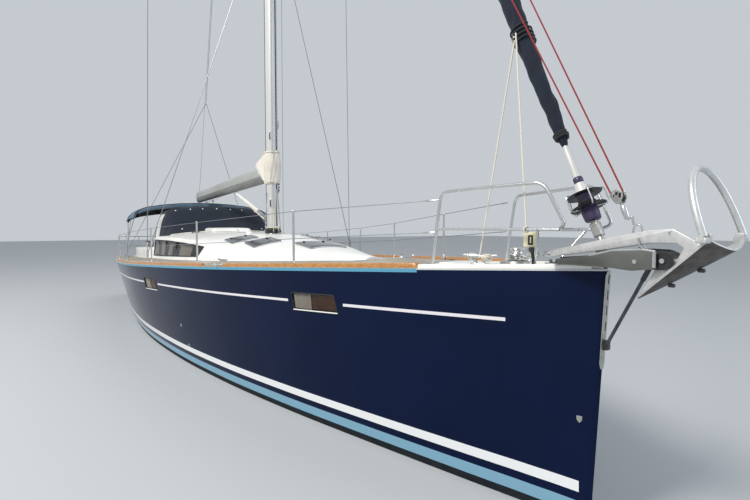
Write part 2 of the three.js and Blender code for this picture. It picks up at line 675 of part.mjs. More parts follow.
// Rudder: a spade blade on a stock that turns in the hull.
// Columns: height, distance of the leading edge forward of the stock, chord, thickness.
const RUDDER_ROWS = [
  [-330, 190, 880, 120],
  [-1100, 165, 740, 96],
  [-1750, 130, 560, 66],
];
const rudderBlade = loft(RUDDER_ROWS.map(([z, lead, chord, thick]) =>
  foilLoop([z, RUDDER_X + lead, chord, thick])), ['x', 'y']);
const stock = bar(vec(RUDDER_X, 0, -600), vec(RUDDER_X, 0, STOCK.top), STOCK.radius, 16);
piece('rudder', rudderBlade.add(stock), ...IRON);

// Helm: two pedestals, two wheels.
const HELM = { x: -5480, y: 830, z: 1430, radius: 430, rim: 15, spokes: 5 };
for (const [side, sign] of [['port', 1], ['starboard', -1]]) {
  const y = HELM.y * sign;
  const post = block([HELM.x + 70, HELM.x + 250], [y - 95, y + 95], [WELL_SOLE + GAP, HELM.z + 60]);
  const binnacle = aimed(turned([[0, 0], [85, 0], [85, 40], [60, 90], [0, 105]], 14),
    vec(HELM.x + 160, y, HELM.z + 59), vec(0, 0, 1));
  piece(`pedestal_${side}`, post.add(binnacle), ...WHITE);

  const centre = vec(HELM.x, y, HELM.z);
  const rim = solid(new THREE.TorusGeometry(HELM.radius, HELM.rim, 6, 24).rotateY(Math.PI / 2)
    .translate(centre.x, centre.y, centre.z));
  const hubEnd = vec(HELM.x + 70 - GAP, y, HELM.z);
  const hubBar = bar(vec(HELM.x - 25, y, HELM.z), hubEnd, 34, 12);
  const spokes = Array.from({ length: HELM.spokes }, (_, i) => {
    const angle = (2 * Math.PI * i) / HELM.spokes + Math.PI / 2;
    const reach = vec(0, HELM.radius * Math.cos(angle), HELM.radius * Math.sin(angle));
    return bar(centre, centre.clone().add(reach), 7, 6);
  });
  piece(`wheel_${side}`, join(rim, hubBar, ...spokes), ...STAINLESS);
}

// Cockpit table on its post.
const TABLE = { front: -3960, back: -4750, half: 260, top: 1440 };
const tablePost = block([TABLE.back + 150, TABLE.front - 150], [-90, 90], [WELL_SOLE + GAP, TABLE.top]);
const tableTop = block([TABLE.back, TABLE.front], [-TABLE.half, TABLE.half], [TABLE.top - 28, TABLE.top]);
piece('cockpit_table', tablePost.add(tableTop), ...TEAK_VARNISHED);

const WINCH_PROFILE = [
  [0, 0], [82, 0], [82, 30], [62, 45], [56, 100], [70, 128], [70, 148], [30, 168], [0, 168],
];
for (const [name, x, y, z] of WINCHES) {
  piece(name, moved(turned(WINCH_PROFILE, 14), x, y, z + STAND), ...STAINLESS);
}

// Mast with its goosenecks, crane and hound fitting.
const mastOutline = ellipse(MAST_FORE_AFT / 2, MAST_ATHWART / 2, 16).map(([x, y]) => [MAST_X + x, y]);
const mastTube = plank(mastOutline, MAST_FOOT_Z - 120, MASTHEAD_Z).subtract(roofLift);
const MAST_BACK_X = MAST_X - MAST_FORE_AFT / 2;
const CRANE = { back: MAST_BACK_X - 160, front: MAST_X + MAST_FORE_AFT / 2 + 90, half: 28, deep: 60 };
const crane = block([CRANE.back, CRANE.front], [-CRANE.half, CRANE.half],
  [MASTHEAD_Z - CRANE.deep, MASTHEAD_Z + 20]);
const LUG = { half: 26, pin: 12, reach: 60 };
const lugBlock = (z) => join(
  block([PIN_X - 10, MAST_BACK_X + 20], [-LUG.half, LUG.half], [z - LUG.half, z + LUG.half]),
  bar(vec(PIN_X, 0, z - LUG.reach), vec(PIN_X, 0, z + LUG.reach), LUG.pin, 12),
);
const stayRun = vec(HOUNDS.x - STAY_FOOT.x, 0, HOUNDS.z - STAY_FOOT.z);
const stayLine = stayRun.clone().normalize();
const stayAt = (along) => vec(STAY_FOOT.x, 0, STAY_FOOT.z).addScaledVector(stayLine, along);
const stayLength = stayRun.length();
const hound = bar(stayAt(stayLength - 60), stayAt(stayLength + 60), 16, 10);
piece('mast', join(mastTube, crane, lugBlock(GOOSENECK_Z), lugBlock(VANG_FOOT_Z), hound), ...ALUMINIUM);

// Spreaders: two swept pairs, each pair joined by a collar round the mast.
// Columns: name, height, tip x, tip y, root chord, tip chord.
const SPREADERS = [
  ['spreaders_lower', 7790, 330, 1870, 170, 90],
  ['spreaders_upper', 12900, 500, 1330, 150, 80],
];
const SPREADER_THICK = 36;
for (const [name, z, tipX, tipY, root, tip] of SPREADERS) {
  const arm = plank([
    [MAST_X + root / 2, MAST_ATHWART / 2 - 20], [MAST_X - root / 2, MAST_ATHWART / 2 - 20],
    [tipX - tip / 2, tipY - 22], [tipX + tip / 2, tipY - 22],
  ], z - SPREADER_THICK / 2, z + SPREADER_THICK / 2);
  const collar = plank(ellipse(MAST_FORE_AFT / 2 + 14, MAST_ATHWART / 2 + 14, 16)
    .map(([x, y]) => [MAST_X + x, y]), z - 50, z + 50);
  const bore = plank(ellipse(MAST_FORE_AFT / 2 + GAP, MAST_ATHWART / 2 + GAP, 16)
    .map(([x, y]) => [MAST_X + x, y]), z - 60, z + 60);
  piece(name, join(collar, arm, mirrored(arm)).subtract(bore), ...ALUMINIUM);
}

// Shrouds: wires from the chainplate over the spreader tips to the mast, one body each side.
const lowTip = vec(SPREADERS[0][2], SPREADERS[0][3], SPREADERS[0][1]);
const highTip = vec(SPREADERS[1][2], SPREADERS[1][3], SPREADERS[1][1]);
const MAST_SIDE = MAST_ATHWART / 2 + 6;
const plateTop = vec(CHAINPLATE.x, CHAINPLATE.y, CHAINPLATE.z + 190);
const innerTop = vec(CHAINPLATE.x + 60, CHAINPLATE.y, CHAINPLATE.z + 190);
const shroudRuns = [
  [plateTop, lowTip, WIRE],
  [lowTip, highTip, WIRE - 1],
  [highTip, vec(MAST_X, MAST_SIDE, HOUNDS.z), WIRE - 1],
  [lowTip, vec(MAST_X, MAST_SIDE, SPREADERS[1][1] - 120), WIRE - 1],
  [innerTop, vec(MAST_X, MAST_SIDE, SPREADERS[0][1] - 110), WIRE],
];
const chainplate = block([CHAINPLATE.x - 40, CHAINPLATE.x + 110], [CHAINPLATE.y - 16, CHAINPLATE.y + 16],
  [CHAINPLATE.z - 60, CHAINPLATE.z + 60]);
const turnbuckle = (x) => bar(vec(x, CHAINPLATE.y, CHAINPLATE.z + 40),
  vec(x, CHAINPLATE.y, plateTop.z + 120), 13, 8);
const tipKnob = (p) => solid(new THREE.IcosahedronGeometry(18, 0).translate(p.x, p.y, p.z));
const shrouds = seatedOnDeck(join(
  chainplate, turnbuckle(CHAINPLATE.x), turnbuckle(CHAINPLATE.x + 60), tipKnob(lowTip), tipKnob(highTip),
  ...shroudRuns.map(([from, to, radius]) => bar(from, to, radius, 5)),
));
piece('shrouds_port', shrouds, ...STAINLESS);
piece('shrouds_starboard', mirrored(shrouds), ...STAINLESS);

// Split backstay: one wire from the crane to a joint, then two legs to the quarters.
const backJoint = vec(BACKSTAY_JOINT.x, 0, BACKSTAY_JOINT.z);
const quarterEye = (side) => vec(BACKSTAY_FOOT.x, side * BACKSTAY_FOOT.y, BACKSTAY_FOOT.z);
const backLeg = (side) => bar(backJoint, quarterEye(side), WIRE, 6);
const underCrane = MASTHEAD_Z - CRANE.deep - GAP;
const craneEye = vec(CRANE.back + 20, 0, underCrane);
const backstay = seatedOnDeck(join(
  bar(craneEye, backJoint, WIRE, 6), backLeg(1), backLeg(-1),
  solid(new THREE.IcosahedronGeometry(30, 0).translate(backJoint.x, 0, backJoint.z)),
)).subtract(block([0, 2000], [-100, 100], [underCrane, MASTHEAD_Z + 100]));
piece('backstay', backstay, ...STAINLESS);

// Boom, vang and the canvas over the gooseneck. The yokes straddle the mast's lugs on one upright axis.
const boomDrop = (x) => ((PIN_X - x) / (PIN_X - BOOM_END.x)) * (GOOSENECK_Z - BOOM_END.z);
const roundedLoop = (x, z, width, depth) => ellipse(1, 1, 16).map(([c, s]) => {
  const swell = 1 / (Math.abs(c) ** 3 + Math.abs(s) ** 3) ** (1 / 3);
  return vec(x, (width / 2) * c * swell, z + (depth / 2) * s * swell);
});
const BOOM_NOSE_X = PIN_X - 65;
const boomTube = loft([[BOOM_NOSE_X, 1], [0, 1], [BOOM_END.x, 0.96]].map(([x, scale]) =>
  roundedLoop(x, GOOSENECK_Z - boomDrop(x), BOOM_WIDTH * scale, BOOM_DEPTH * scale)));
const yoke = (z, reach) => [-1, 1].map((sign) => {
  const low = sign > 0 ? z + LUG.half + GAP : z - LUG.half - GAP - 22;
  return join(
    bar(vec(PIN_X, 0, low), vec(PIN_X, 0, low + 22), 32, 14),
    block([PIN_X - reach, PIN_X], [-24, 24], [low, low + 22]),
  ).subtract(bar(vec(PIN_X, 0, z - 90), vec(PIN_X, 0, z + 90), LUG.pin + PIN_PLAY, 24));
});
piece('boom', join(boomTube, ...yoke(GOOSENECK_Z, 90)), ...ALUMINIUM);

const vangTop = vec(VANG_TOP.x, 0, GOOSENECK_Z - boomDrop(VANG_TOP.x) - BOOM_DEPTH / 2 - VANG_TOP.drop);
const vangFoot = vec(PIN_X - 80, 0, VANG_FOOT_Z + 22);
const vang = join(
  bar(vangFoot, vangTop, 30, 10), bar(vangFoot.clone().lerp(vangTop, 0.45), vangTop, 24, 10),
  block([vangTop.x - 30, vangTop.x + 30], [-16, 16], [vangTop.z - 10, vangTop.z + 140]),
  block([PIN_X - 110, PIN_X - 60], [-24, 24], [VANG_FOOT_Z - 48, VANG_FOOT_Z + 48]),
  ...yoke(VANG_FOOT_Z, 110),
);
piece('vang', vang.subtract(moved(boomTube, 0, 0, -GAP)), ...WHITE);

const COVER = { back: 330, front: 715, wrap: STAND, cloth: 30 };
const coverLoop = (x, grow) =>
  roundedLoop(x, GOOSENECK_Z - boomDrop(x), BOOM_WIDTH + 2 * grow, BOOM_DEPTH + 2 * grow);
const coverOuter = loft([COVER.back, COVER.front].map((x) => coverLoop(x, COVER.wrap + COVER.cloth)));
const coverInner = loft([COVER.back - 10, COVER.front + 10].map((x) => coverLoop(x, COVER.wrap)));
piece('gooseneck_cover', coverOuter.subtract(coverInner), ...CANVAS_CREAM);

// Furler and furled genoa on the forestay. Heights are measured along the stay from its lower pin.
const SAIL_FOOT = 835;
const FURLER_PROFILE = [
  [0, 162], [42, 162], [46, 260], [60, 262], [120, 300], [120, 310], [40, 314], [40, 352],
  [118, 356], [118, 366], [30, 392], [30, 460], [22, 470], [22, SAIL_FOOT], [0, SAIL_FOOT],
];
const drum = aimed(turned(FURLER_PROFILE, 14), stayAt(0), stayLine);
piece('furler_drum', drum, ...BLACK_PLASTIC);
const SAIL_TOP = stayLength - 900;
const GENOA_PROFILE = [
  [0, SAIL_FOOT + GAP], [36, SAIL_FOOT + GAP], [46, 900], [62, 1500], [78, 2200], [105, 5000],
  [96, 8500], [66, 12200], [30, SAIL_TOP], [14, SAIL_TOP + 30], [14, stayLength - 60 - GAP], [0, stayLength - 60 - GAP],
];
const genoa = aimed(turned(GENOA_PROFILE, 12), stayAt(0), stayLine);
piece('genoa_furled', genoa, ...CANVAS_NAVY);

// Bow roller: base plate on deck, channel past the stem, cheeks, and the tang that carries the forestay.
const ROLLER = { x: 7935, z: 1888, radius: 52 };
const CHEEK = [
  [7180, 1833], [7880, 1833], [7965, 1842], [7996, 1885], [7975, 1930], [7925, 1948],
  [7830, 1950], [7640, 1935], [7490, 1897], [7180, 1866],
];
const cheek = (y) => sidePlate(CHEEK, y - 4, y + 4);
const BASE_Z = 1833;
const BASE_PLATE = [[7180, -200], [7490, -200], [7490, 45], [7400, 90], [7180, 90]];
const basePlate = plank(BASE_PLATE, BASE_Z, BASE_Z + 8);
const channel = block([7180, 7900], [LANE_Y - 64, LANE_Y + 64], [BASE_Z, BASE_Z + 8]);
const tang = sidePlate([[7380, 1780], [7488, 1780], [7478, 1985], [7422, 1985]], -9, 9);
const toggle = bar(stayAt(-30), stayAt(162 - GAP), 20, 12);
const sheave = (x, z) => bar(vec(x, LANE_Y - 56, z), vec(x, LANE_Y + 56, z), ROLLER.radius, 16);
const axle = (x, z) => bar(vec(x, LANE_Y - 64, z), vec(x, LANE_Y + 64, z), 9, 8);
const rollerBody = join(basePlate, channel, cheek(LANE_Y - 64), cheek(LANE_Y + 64), tang, toggle,
  axle(ROLLER.x, ROLLER.z), sheave(ROLLER.x, ROLLER.z));
piece('bow_roller', rollerBody.subtract(moved(hullForm, 0, 0, CAPPING_HEIGHT + 2 * GAP)), ...STAINLESS);

// Bobstay: a tang low on the stem and a rod up to the channel.
const stemFaceX = (z) => STEM_X - STEM_RAKE * (1 - z / STEM_Z);
const stripOutline = (low, high, thick) => [
  [stemFaceX(low) + GAP, low], [stemFaceX(low) + thick, low],
  [stemFaceX(high) + thick, high], [stemFaceX(high) + GAP, high],
];
const BOBSTAY = { low: 1292, topX: 7808 };
const bobStrip = stripOutline(BOBSTAY.low - 95, BOBSTAY.low + 30, 10);
const bobEye = [stemFaceX(BOBSTAY.low) + 42, BOBSTAY.low - 8];
const bobTang = sidePlate([...bobStrip.slice(0, 2), bobEye, ...bobStrip.slice(2)], -10, 10);
const bobPin = vec(stemFaceX(BOBSTAY.low) + 22, 0, BOBSTAY.low);
const bobRod = bar(bobPin, vec(BOBSTAY.topX, LANE_Y + 50, BASE_Z - GAP), 9, 8);
const aboveChannel = block([7700, 8000], [-300, 300], [BASE_Z - GAP, 1950]);
piece('bobstay', join(bobTang, bobRod).subtract(aboveChannel), ...STAINLESS);

// Anchor: flat shank over the roller, chevron fluke and roll bar.
const SHANK = [
  [7095, 1905], [7110, 1862], [7590, 1938], [7841, 1983], [7985, 1985], [8022, 1962], [7992, 1900],
  [7935, 1888], [7935, 1832], [7872, 1832], [7795, 1690], [7812, 1686],
  [8160, 1906], [8100, 1992], [7965, 2067], [7840, 2060], [7590, 2012], [7447, 1978],
];
const SHANK_HOLE = { x: 7953, z: 2040, radius: 13 };
const shank = sidePlate(SHANK, LANE_Y - 10, LANE_Y + 10)
  .subtract(bar(vec(SHANK_HOLE.x, LANE_Y - 20, SHANK_HOLE.z), vec(SHANK_HOLE.x, LANE_Y + 20, SHANK_HOLE.z),
    SHANK_HOLE.radius, 10));
// Columns: x and height of the fold, half width, rise of the wings square to the fold, plate thickness.
const FLUKE = [
  [7768, 1656, 6, 3, 10], [7905, 1743, 72, 20, 14], [8090, 1860, 142, 42, 14], [8258, 1967, 196, 66, 14],
];
const FLUKE_NORMAL = vec(-0.535, 0, 0.845);
const fluke = loft(FLUKE.map(([x, z, half, rise, thick]) => {
  const at = (y, high) => vec(x, LANE_Y + y, z).addScaledVector(FLUKE_NORMAL, high);
  const under = [at(0, 0), at(half, rise)];
  const above = [at(half, rise + thick), at(0, thick * 1.4), at(-half, rise + thick)];
  return [...under, ...above, at(-half, rise)];
}));
const HOOP = { x: 8213, z: 2030, half: 186, belly: 0.16, rise: 362, lean: 120 };
const hoopPoints = Array.from({ length: 11 }, (_, i) => {
  const angle = (Math.PI * i) / 10;
  const high = Math.sin(angle) ** 0.9;
  const across = HOOP.half * Math.cos(angle) * (1 + HOOP.belly * high);
  return vec(HOOP.x - HOOP.lean * high, LANE_Y + across, HOOP.z + HOOP.rise * high);
});
const hoop = tube(hoopPoints, 19, 40, 1, 8);
const anchor = join(shank, fluke, hoop).subtract(
  bar(vec(ROLLER.x, LANE_Y - 80, ROLLER.z), vec(ROLLER.x, LANE_Y + 80, ROLLER.z), ROLLER.radius + GAP, 16));
piece('anchor', anchor, ...GALVANISED);

// Windlass on the foredeck: a fixed base and a drum that turns.
const WINDLASS = { x: 6780, y: LANE_Y / 2, base: 1895, foot: 1700 };
const windlassPost = (back, side, top, radius, sides) => bar(
  vec(WINDLASS.x - back, WINDLASS.y + side, WINDLASS.foot),
  vec(WINDLASS.x - back, WINDLASS.y + side, WINDLASS.base - top), radius, sides);
const windlassBase = join(windlassPost(0, 0, 0, 95, 16), windlassPost(120, 20, 20, 60, 12));
piece('windlass', seatedOnDeck(windlassBase), ...STAINLESS);
const DRUM_PROFILE = [
  [0, 0], [70, 0], [74, 16], [52, 30], [52, 42], [74, 56], [70, 66], [48, 78], [44, 110], [58, 130], [0, 140],
];
const windlassDrum = moved(turned(DRUM_PROFILE, 16), WINDLASS.x, WINDLASS.y, WINDLASS.base + STAND);
piece('windlass_drum', windlassDrum, ...STAINLESS);

// Pulpit: a hoop each side with a mid rail that joins them behind the furler.
const PIPE = 13;
const PULPIT = {
  backX: 6170, topZ: 2364, frontZ: 2384, midZ: 2060, frontX: 7195, noseX: 7352, crossX: 7258,
};
const backHalf = beamAt(PULPIT.backX) - 95;
const hoopSide = (side) => join(
  tube([
    vec(PULPIT.backX, side * backHalf, 1660), vec(PULPIT.backX + 130, side * backHalf, PULPIT.topZ),
    vec(PULPIT.frontX, side * 282, PULPIT.frontZ), vec(PULPIT.noseX, side * 262, PULPIT.midZ + 36),
    vec(PULPIT.crossX + 22, side * 225, PULPIT.midZ), vec(PULPIT.crossX, side * 110, PULPIT.midZ),
    vec(PULPIT.crossX, -side * 4, PULPIT.midZ),
  ], PIPE, 80),
  bar(vec(PULPIT.backX + 68, side * backHalf, PULPIT.midZ),
    vec(PULPIT.crossX + 30, side * 232, PULPIT.midZ), PIPE),
  bar(vec(7080, side * 290, PULPIT.midZ), vec(6900, side * 78, 1700), PIPE),
);
piece('pulpit', seatedOnDeck(join(hoopSide(1), hoopSide(-1))), ...STAINLESS);

// Pushpit: a rail round each quarter with a gate between.
const PUSHPIT = { frontX: -5850, backX: -6980, topZ: 1800, midZ: 1520, gate: 420 };
const quarter = (side, z) => [
  vec(PUSHPIT.frontX, side * (beamAt(PUSHPIT.frontX) - 72), z),
  vec(-6800, side * (beamAt(-6800) - 90), z),
  vec(PUSHPIT.backX, side * 1500, z),
  vec(PUSHPIT.backX, side * PUSHPIT.gate, z),
];
for (const [name, side] of [['pushpit_port', 1], ['pushpit_starboard', -1]]) {
  const legAt = (x, y) => bar(vec(x, side * y, 1100), vec(x, side * y, PUSHPIT.topZ), PIPE);
  piece(name, seatedOnDeck(join(
    tube(quarter(side, PUSHPIT.topZ), PIPE, 200),
    tube(quarter(side, PUSHPIT.midZ), PIPE, 200),
    legAt(PUSHPIT.frontX, beamAt(PUSHPIT.frontX) - 72),
    legAt(PUSHPIT.backX, PUSHPIT.gate),
    legAt(PUSHPIT.backX, 1450),
  )), ...STAINLESS);
}

// Stanchions with two lifelines each side.
const STANCHIONS = [4570, 2550, 750, -1250, -3250, -5050];
const STANCHION = { inset: 62, height: 610, radius: 12 };
const WIRE_HEIGHTS = [595, 305];
const railPoint = (x, rise) => vec(x, beamAt(x) - STANCHION.inset - 6, sheerAt(x) + rise);
const lifePoints = (rise, topZ) => [
  vec(PULPIT.backX + (rise > 400 ? 60 : 40), backHalf - 30, topZ),
  ...STANCHIONS.map((x) => railPoint(x, rise)),
  vec(PUSHPIT.frontX + 20, beamAt(PUSHPIT.frontX) - 72, rise > 400 ? PUSHPIT.topZ - 20 : PUSHPIT.midZ - 20),
];
const lifeWires = WIRE_HEIGHTS.flatMap((rise, k) => {
  const points = lifePoints(rise, k === 0 ? PULPIT.topZ - 60 : PULPIT.midZ - 25);
  return points.slice(1).map((p, i) => bar(points[i], p, 3.5, 4));
});
const posts = STANCHIONS.map((x) => {
  const foot = railPoint(x, -60);
  return bar(foot, railPoint(x, STANCHION.height), STANCHION.radius);
});
const lifelines = seatedOnDeck(join(...posts, ...lifeWires));
piece('lifelines_port', lifelines, ...STAINLESS);
piece('lifelines_starboard', mirrored(lifelines), ...STAINLESS);

// Boarding ladder, folded up against the transom below the stern passage.
const TRANSOM_HEIGHT = SECTIONS.at(-1)[2];
const transomLine = vec(TRANSOM_RAKE, 0, TRANSOM_HEIGHT).normalize();
const transomOut = vec(-transomLine.z, 0, transomLine.x);
const LADDER = { half: 150, foot: 350, length: 490, rail: 13, rung: 12, axle: 27 };
const ladderAt = (along, y) => vec(-STEM_X, y, 0)
  .addScaledVector(transomLine, LADDER.foot + along)
  .addScaledVector(transomOut, LADDER.axle + STAND);
const ladderRail = (side) =>
  bar(ladderAt(0, side * LADDER.half), ladderAt(LADDER.length, side * LADDER.half), LADDER.rail, 8);
const rungs = [0.45, 0.95].map((t) => {
  const along = LADDER.length * t;
  return bar(ladderAt(along, -LADDER.half), ladderAt(along, LADDER.half), LADDER.rung, 8);
});
const ladderAxle = bar(ladderAt(0, -LADDER.half - 30), ladderAt(0, LADDER.half + 30), LADDER.axle, 24);
piece('boarding_ladder', join(ladderRail(1), ladderRail(-1), ladderAxle, ...rungs), ...STAINLESS);

// Dodger: a canvas shell over the companionway, open aft, seated on the roof and the coamings.
// Columns: half width and height of the full arch.
const DODGER_ARCH = [
  [1345, 1300], [1335, 2050], [1275, 2300], [1120, 2460], [760, 2565], [380, 2612], [0, 2625],
];
// Columns: x and how far the arch has risen.
const DODGER_ROWS = [[-2250, 0.02], [-2700, 0.42], [-3300, 1], [-4250, 0.985]];
const DODGER_FOOT_Z = 1890;
const CLOTH = 12;
const SLIDE_ROOM = 20;
function dodgerLoop([x, risen], wall) {
  const half = DODGER_ARCH.map(([y, z]) => {
    const high = z > DODGER_FOOT_Z ? DODGER_FOOT_Z + (z - DODGER_FOOT_Z) * risen : z;
    return [y - (y > 0 ? wall : 0), high - wall];
  });
  const port = half.map(([y, z]) => vec(x, y, z));
  const starboard = half.slice(0, -1).reverse().map(([y, z]) => vec(x, -y, z));
  return [...port, ...starboard];
}
const dodgerOuter = loft(DODGER_ROWS.map((row) => dodgerLoop(row, 0)));
const innerArches = DODGER_ROWS.slice(0, 3).map(([x, risen]) => dodgerLoop([x - CLOTH, risen], CLOTH));
const dodgerInner = loft([...innerArches, dodgerLoop([-4300, 0.985], CLOTH)]);
const solidMoulding = join(houseForm, coaming, mirrored(coaming),
  block([GARAGE.back - SLIDE_ROOM, GARAGE.front], [-GARAGE.half, GARAGE.half], [1850, GARAGE.top]));
const dodger = dodgerOuter.subtract(dodgerInner)
  .subtract(moved(solidMoulding, 0, 0, GAP))
  .subtract(deckLift)
  .subtract(block([-5000, 0], [-1700, 1700], [1000, 1500]));
piece('dodger', dodger, ...CANVAS_NAVY);

// Bimini: a curved awning on a bent tube frame, slotted for the backstay legs.
const BIMINI_ARCH = [[1800, 2300], [1735, 2490], [1500, 2605], [1000, 2690], [500, 2733], [0, 2745]];
const BIMINI_ROWS = [[-4450, 0], [-5000, 8], [-5900, 4], [-6550, -50]];
const fullArch = (arc) => [...arc, ...arc.slice(0, -1).reverse().map(([y, z]) => [-y, z])];
const BIMINI_TOP = fullArch(BIMINI_ARCH);
const biminiLoop = ([x, rise]) => [
  ...BIMINI_TOP.map(([y, z]) => vec(x, y, z + rise)),
  ...offset(BIMINI_TOP, -CLOTH, false).map(([y, z]) => vec(x, y, z + rise)).reverse(),
];
const FRAME_ARCHES = [-4500, -5450, -6500];
const FRAME_RADIUS = 11;
const archRise = (x) => blend(BIMINI_ROWS, x, 1);
const FLAT_SIDE = 0.8;
const underArch = offset(BIMINI_TOP, FLAT_SIDE - CLOTH - FRAME_RADIUS - GAP, false);
const frameLegTop = (x, side) => vec(x, side * underArch[0][0], underArch[0][1] + archRise(x));
const archLine = (x) => underArch.map(([y, z]) => vec(x, y, z + archRise(x)));
const arches = FRAME_ARCHES.map((x) => tube(archLine(x), FRAME_RADIUS, 30, 1));
const SLOT = { back: -6600, front: -5150, inner: 1130, outer: 1560 };
const slotBox = (side) => {
  const ys = [SLOT.inner * side, SLOT.outer * side].sort((a, b) => a - b);
  return block([SLOT.back, SLOT.front], ys, [2300, 2800]);
};
const biminiSheet = loft(BIMINI_ROWS.map(biminiLoop));
piece('bimini', biminiSheet.subtract(slotBox(1)).subtract(slotBox(-1)), ...CANVAS_GREY_BLUE);

const frameLeg = (x, side) => bar(frameLegTop(x, side),
  vec(FRAME_PIVOT.x, side * FRAME_PIVOT.y, FRAME_PIVOT.z), FRAME_RADIUS);
const frameFoot = (side) => bar(vec(FRAME_PIVOT.x, side * FRAME_PIVOT.y, FRAME_PIVOT.z + 10),
  vec(FRAME_PIVOT.x, side * (FRAME_PIVOT.y + 10), 1100), 13);
piece('bimini_frame', seatedOnDeck(join(
  ...arches, ...FRAME_ARCHES.flatMap((x) => [frameLeg(x, 1), frameLeg(x, -1)]), frameFoot(1), frameFoot(-1),
)), ...STAINLESS);

export default yacht;
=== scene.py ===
from math import copysign, cos, hypot, pi, radians, sin, sqrt

import bmesh
import bpy
from mathutils import Matrix, Vector


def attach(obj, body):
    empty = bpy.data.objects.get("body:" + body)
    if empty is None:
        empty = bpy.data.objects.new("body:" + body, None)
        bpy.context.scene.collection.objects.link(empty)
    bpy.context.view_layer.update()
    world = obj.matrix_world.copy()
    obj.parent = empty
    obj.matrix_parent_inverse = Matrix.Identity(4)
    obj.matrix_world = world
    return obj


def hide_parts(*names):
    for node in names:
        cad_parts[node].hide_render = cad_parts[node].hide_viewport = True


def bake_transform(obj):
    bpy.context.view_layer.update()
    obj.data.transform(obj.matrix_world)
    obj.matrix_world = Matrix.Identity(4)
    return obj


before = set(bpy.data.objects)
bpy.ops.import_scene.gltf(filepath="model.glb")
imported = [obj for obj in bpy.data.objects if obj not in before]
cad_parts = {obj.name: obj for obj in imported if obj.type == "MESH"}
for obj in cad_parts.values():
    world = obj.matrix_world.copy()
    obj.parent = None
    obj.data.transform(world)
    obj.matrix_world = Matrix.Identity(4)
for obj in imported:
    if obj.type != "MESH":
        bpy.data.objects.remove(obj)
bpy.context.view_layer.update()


# The viewpoint: low off the starboard bow, looking aft along the hull.
# Metres and degrees in the yacht's frame; the heading is counted from the bow towards port.

EYE = Vector((9.380, -2.966, 2.077))
HEADING, PITCH, ROLL = (radians(a) for a in (148.528, -2.558, -0.04))

ahead = Vector((cos(HEADING) * cos(PITCH), sin(HEADING) * cos(PITCH), sin(PITCH)))
right = Vector((sin(HEADING), -cos(HEADING), 0))
above = right.cross(ahead)
right, above = (
    right * cos(ROLL) + above * sin(ROLL),
    above * cos(ROLL) - right * sin(ROLL),
)
lens = bpy.data.cameras.new("viewpoint")
lens.lens, lens.sensor_width = 23.0, 36.0
lens.shift_x, lens.shift_y = 0.7 / 750, -1.365 / 750
lens.clip_end = 400
viewpoint = bpy.data.objects.new("viewpoint", lens)
viewpoint.matrix_world = Matrix.Translation(EYE) @ Matrix((right, above, -ahead)).transposed().to_4x4()
bpy.context.scene.collection.objects.link(viewpoint)
bpy.context.scene.camera = viewpoint


# The room: a pale floor at the waterline, even pale light from all round, and two broad soft lamps.
# Nothing in it belongs to the yacht.

FLOOR_SIZE, AIR_STRENGTH = 160.0, 0.72

bpy.context.scene.view_settings.view_transform = "Standard"


def srgb(code):
    """Turns an sRGB hex colour into the linear one that a shader socket takes."""
    parts = [int(code[i:i + 2], 16) / 255 for i in (0, 2, 4)]
    return (*(p / 12.92 if p <= 0.04045 else ((p + 0.055) / 1.055) ** 2.4 for p in parts), 1.0)


def feed(made, inputs):
    """Sets or links a shader node's inputs, named or numbered."""
    for name, value in inputs.items():
        if isinstance(value, bpy.types.NodeSocket):
            made.id_data.links.new(value, made.inputs[name])
        else:
            made.inputs[name].default_value = value


def node(finish, kind, inputs=None, out=0, **settings):
    """Adds a shader node with its settings and links, and gives one of its outputs."""
    made = finish.node_tree.nodes.new("ShaderNode" + kind)
    for name, value in settings.items():
        setattr(made, name, value)
    feed(made, inputs or {})
    return made.outputs[out]


def new_finish(name, inputs):
    """A material with one Principled shader and its even values on the shader's sockets."""
    finish = bpy.data.materials.new(name)
    finish.use_nodes = True
    feed(finish.node_tree.nodes["Principled BSDF"], inputs)
    return finish


def coat(finish, inputs):
    """Sets or links sockets of a material's shader."""
    feed(finish.node_tree.nodes["Principled BSDF"], inputs)


def grain(finish, size, depth, detail=3.0, stretch=(1, 1, 1)):
    """Small dents of about a size in millimetres that catch the light; stretch draws them out."""
    at_point = node(finish, "Mapping", {"Vector": node(finish, "TexCoord", out="Object"), "Scale": stretch})
    dents = node(finish, "TexNoise", {"Vector": at_point, "Scale": 1000 / size, "Detail": detail})
    bump = node(finish, "Bump", {"Height": dents, "Distance": depth / 1000})
    coat(finish, {"Normal": bump})
    return dents


def blotches(finish, size, light, dark, share=(0.35, 0.7), stretch=(1, 1, 1), detail=4.0):
    """Two colours in soft patches of about a size in millimetres, as wear and dust leave them."""
    at_point = node(finish, "Mapping", {"Vector": node(finish, "TexCoord", out="Object"), "Scale": stretch})
    patch = node(finish, "TexNoise", {"Vector": at_point, "Scale": 1000 / size, "Detail": detail})
    patch = node(finish, "MapRange", {"Value": patch, "From Min": share[0], "From Max": share[1]})
    return node(finish, "Mix", {0: patch, 6: srgb(light), 7: srgb(dark)}, out=2, data_type="RGBA")


def patchy(name, inputs, patches, dents=None, wear=None):
    """A finish with blotches' and grain's settings; wear is its roughness at the dents' floor and crest."""
    finish = new_finish(name, inputs)
    coat(finish, {"Base Color": blotches(finish, *patches)})
    rough = grain(finish, *dents) if dents else None
    if wear:
        rough = node(finish, "MapRange", {"Value": rough, "To Min": wear[0], "To Max": wear[1]})
        coat(finish, {"Roughness": rough})
    return finish


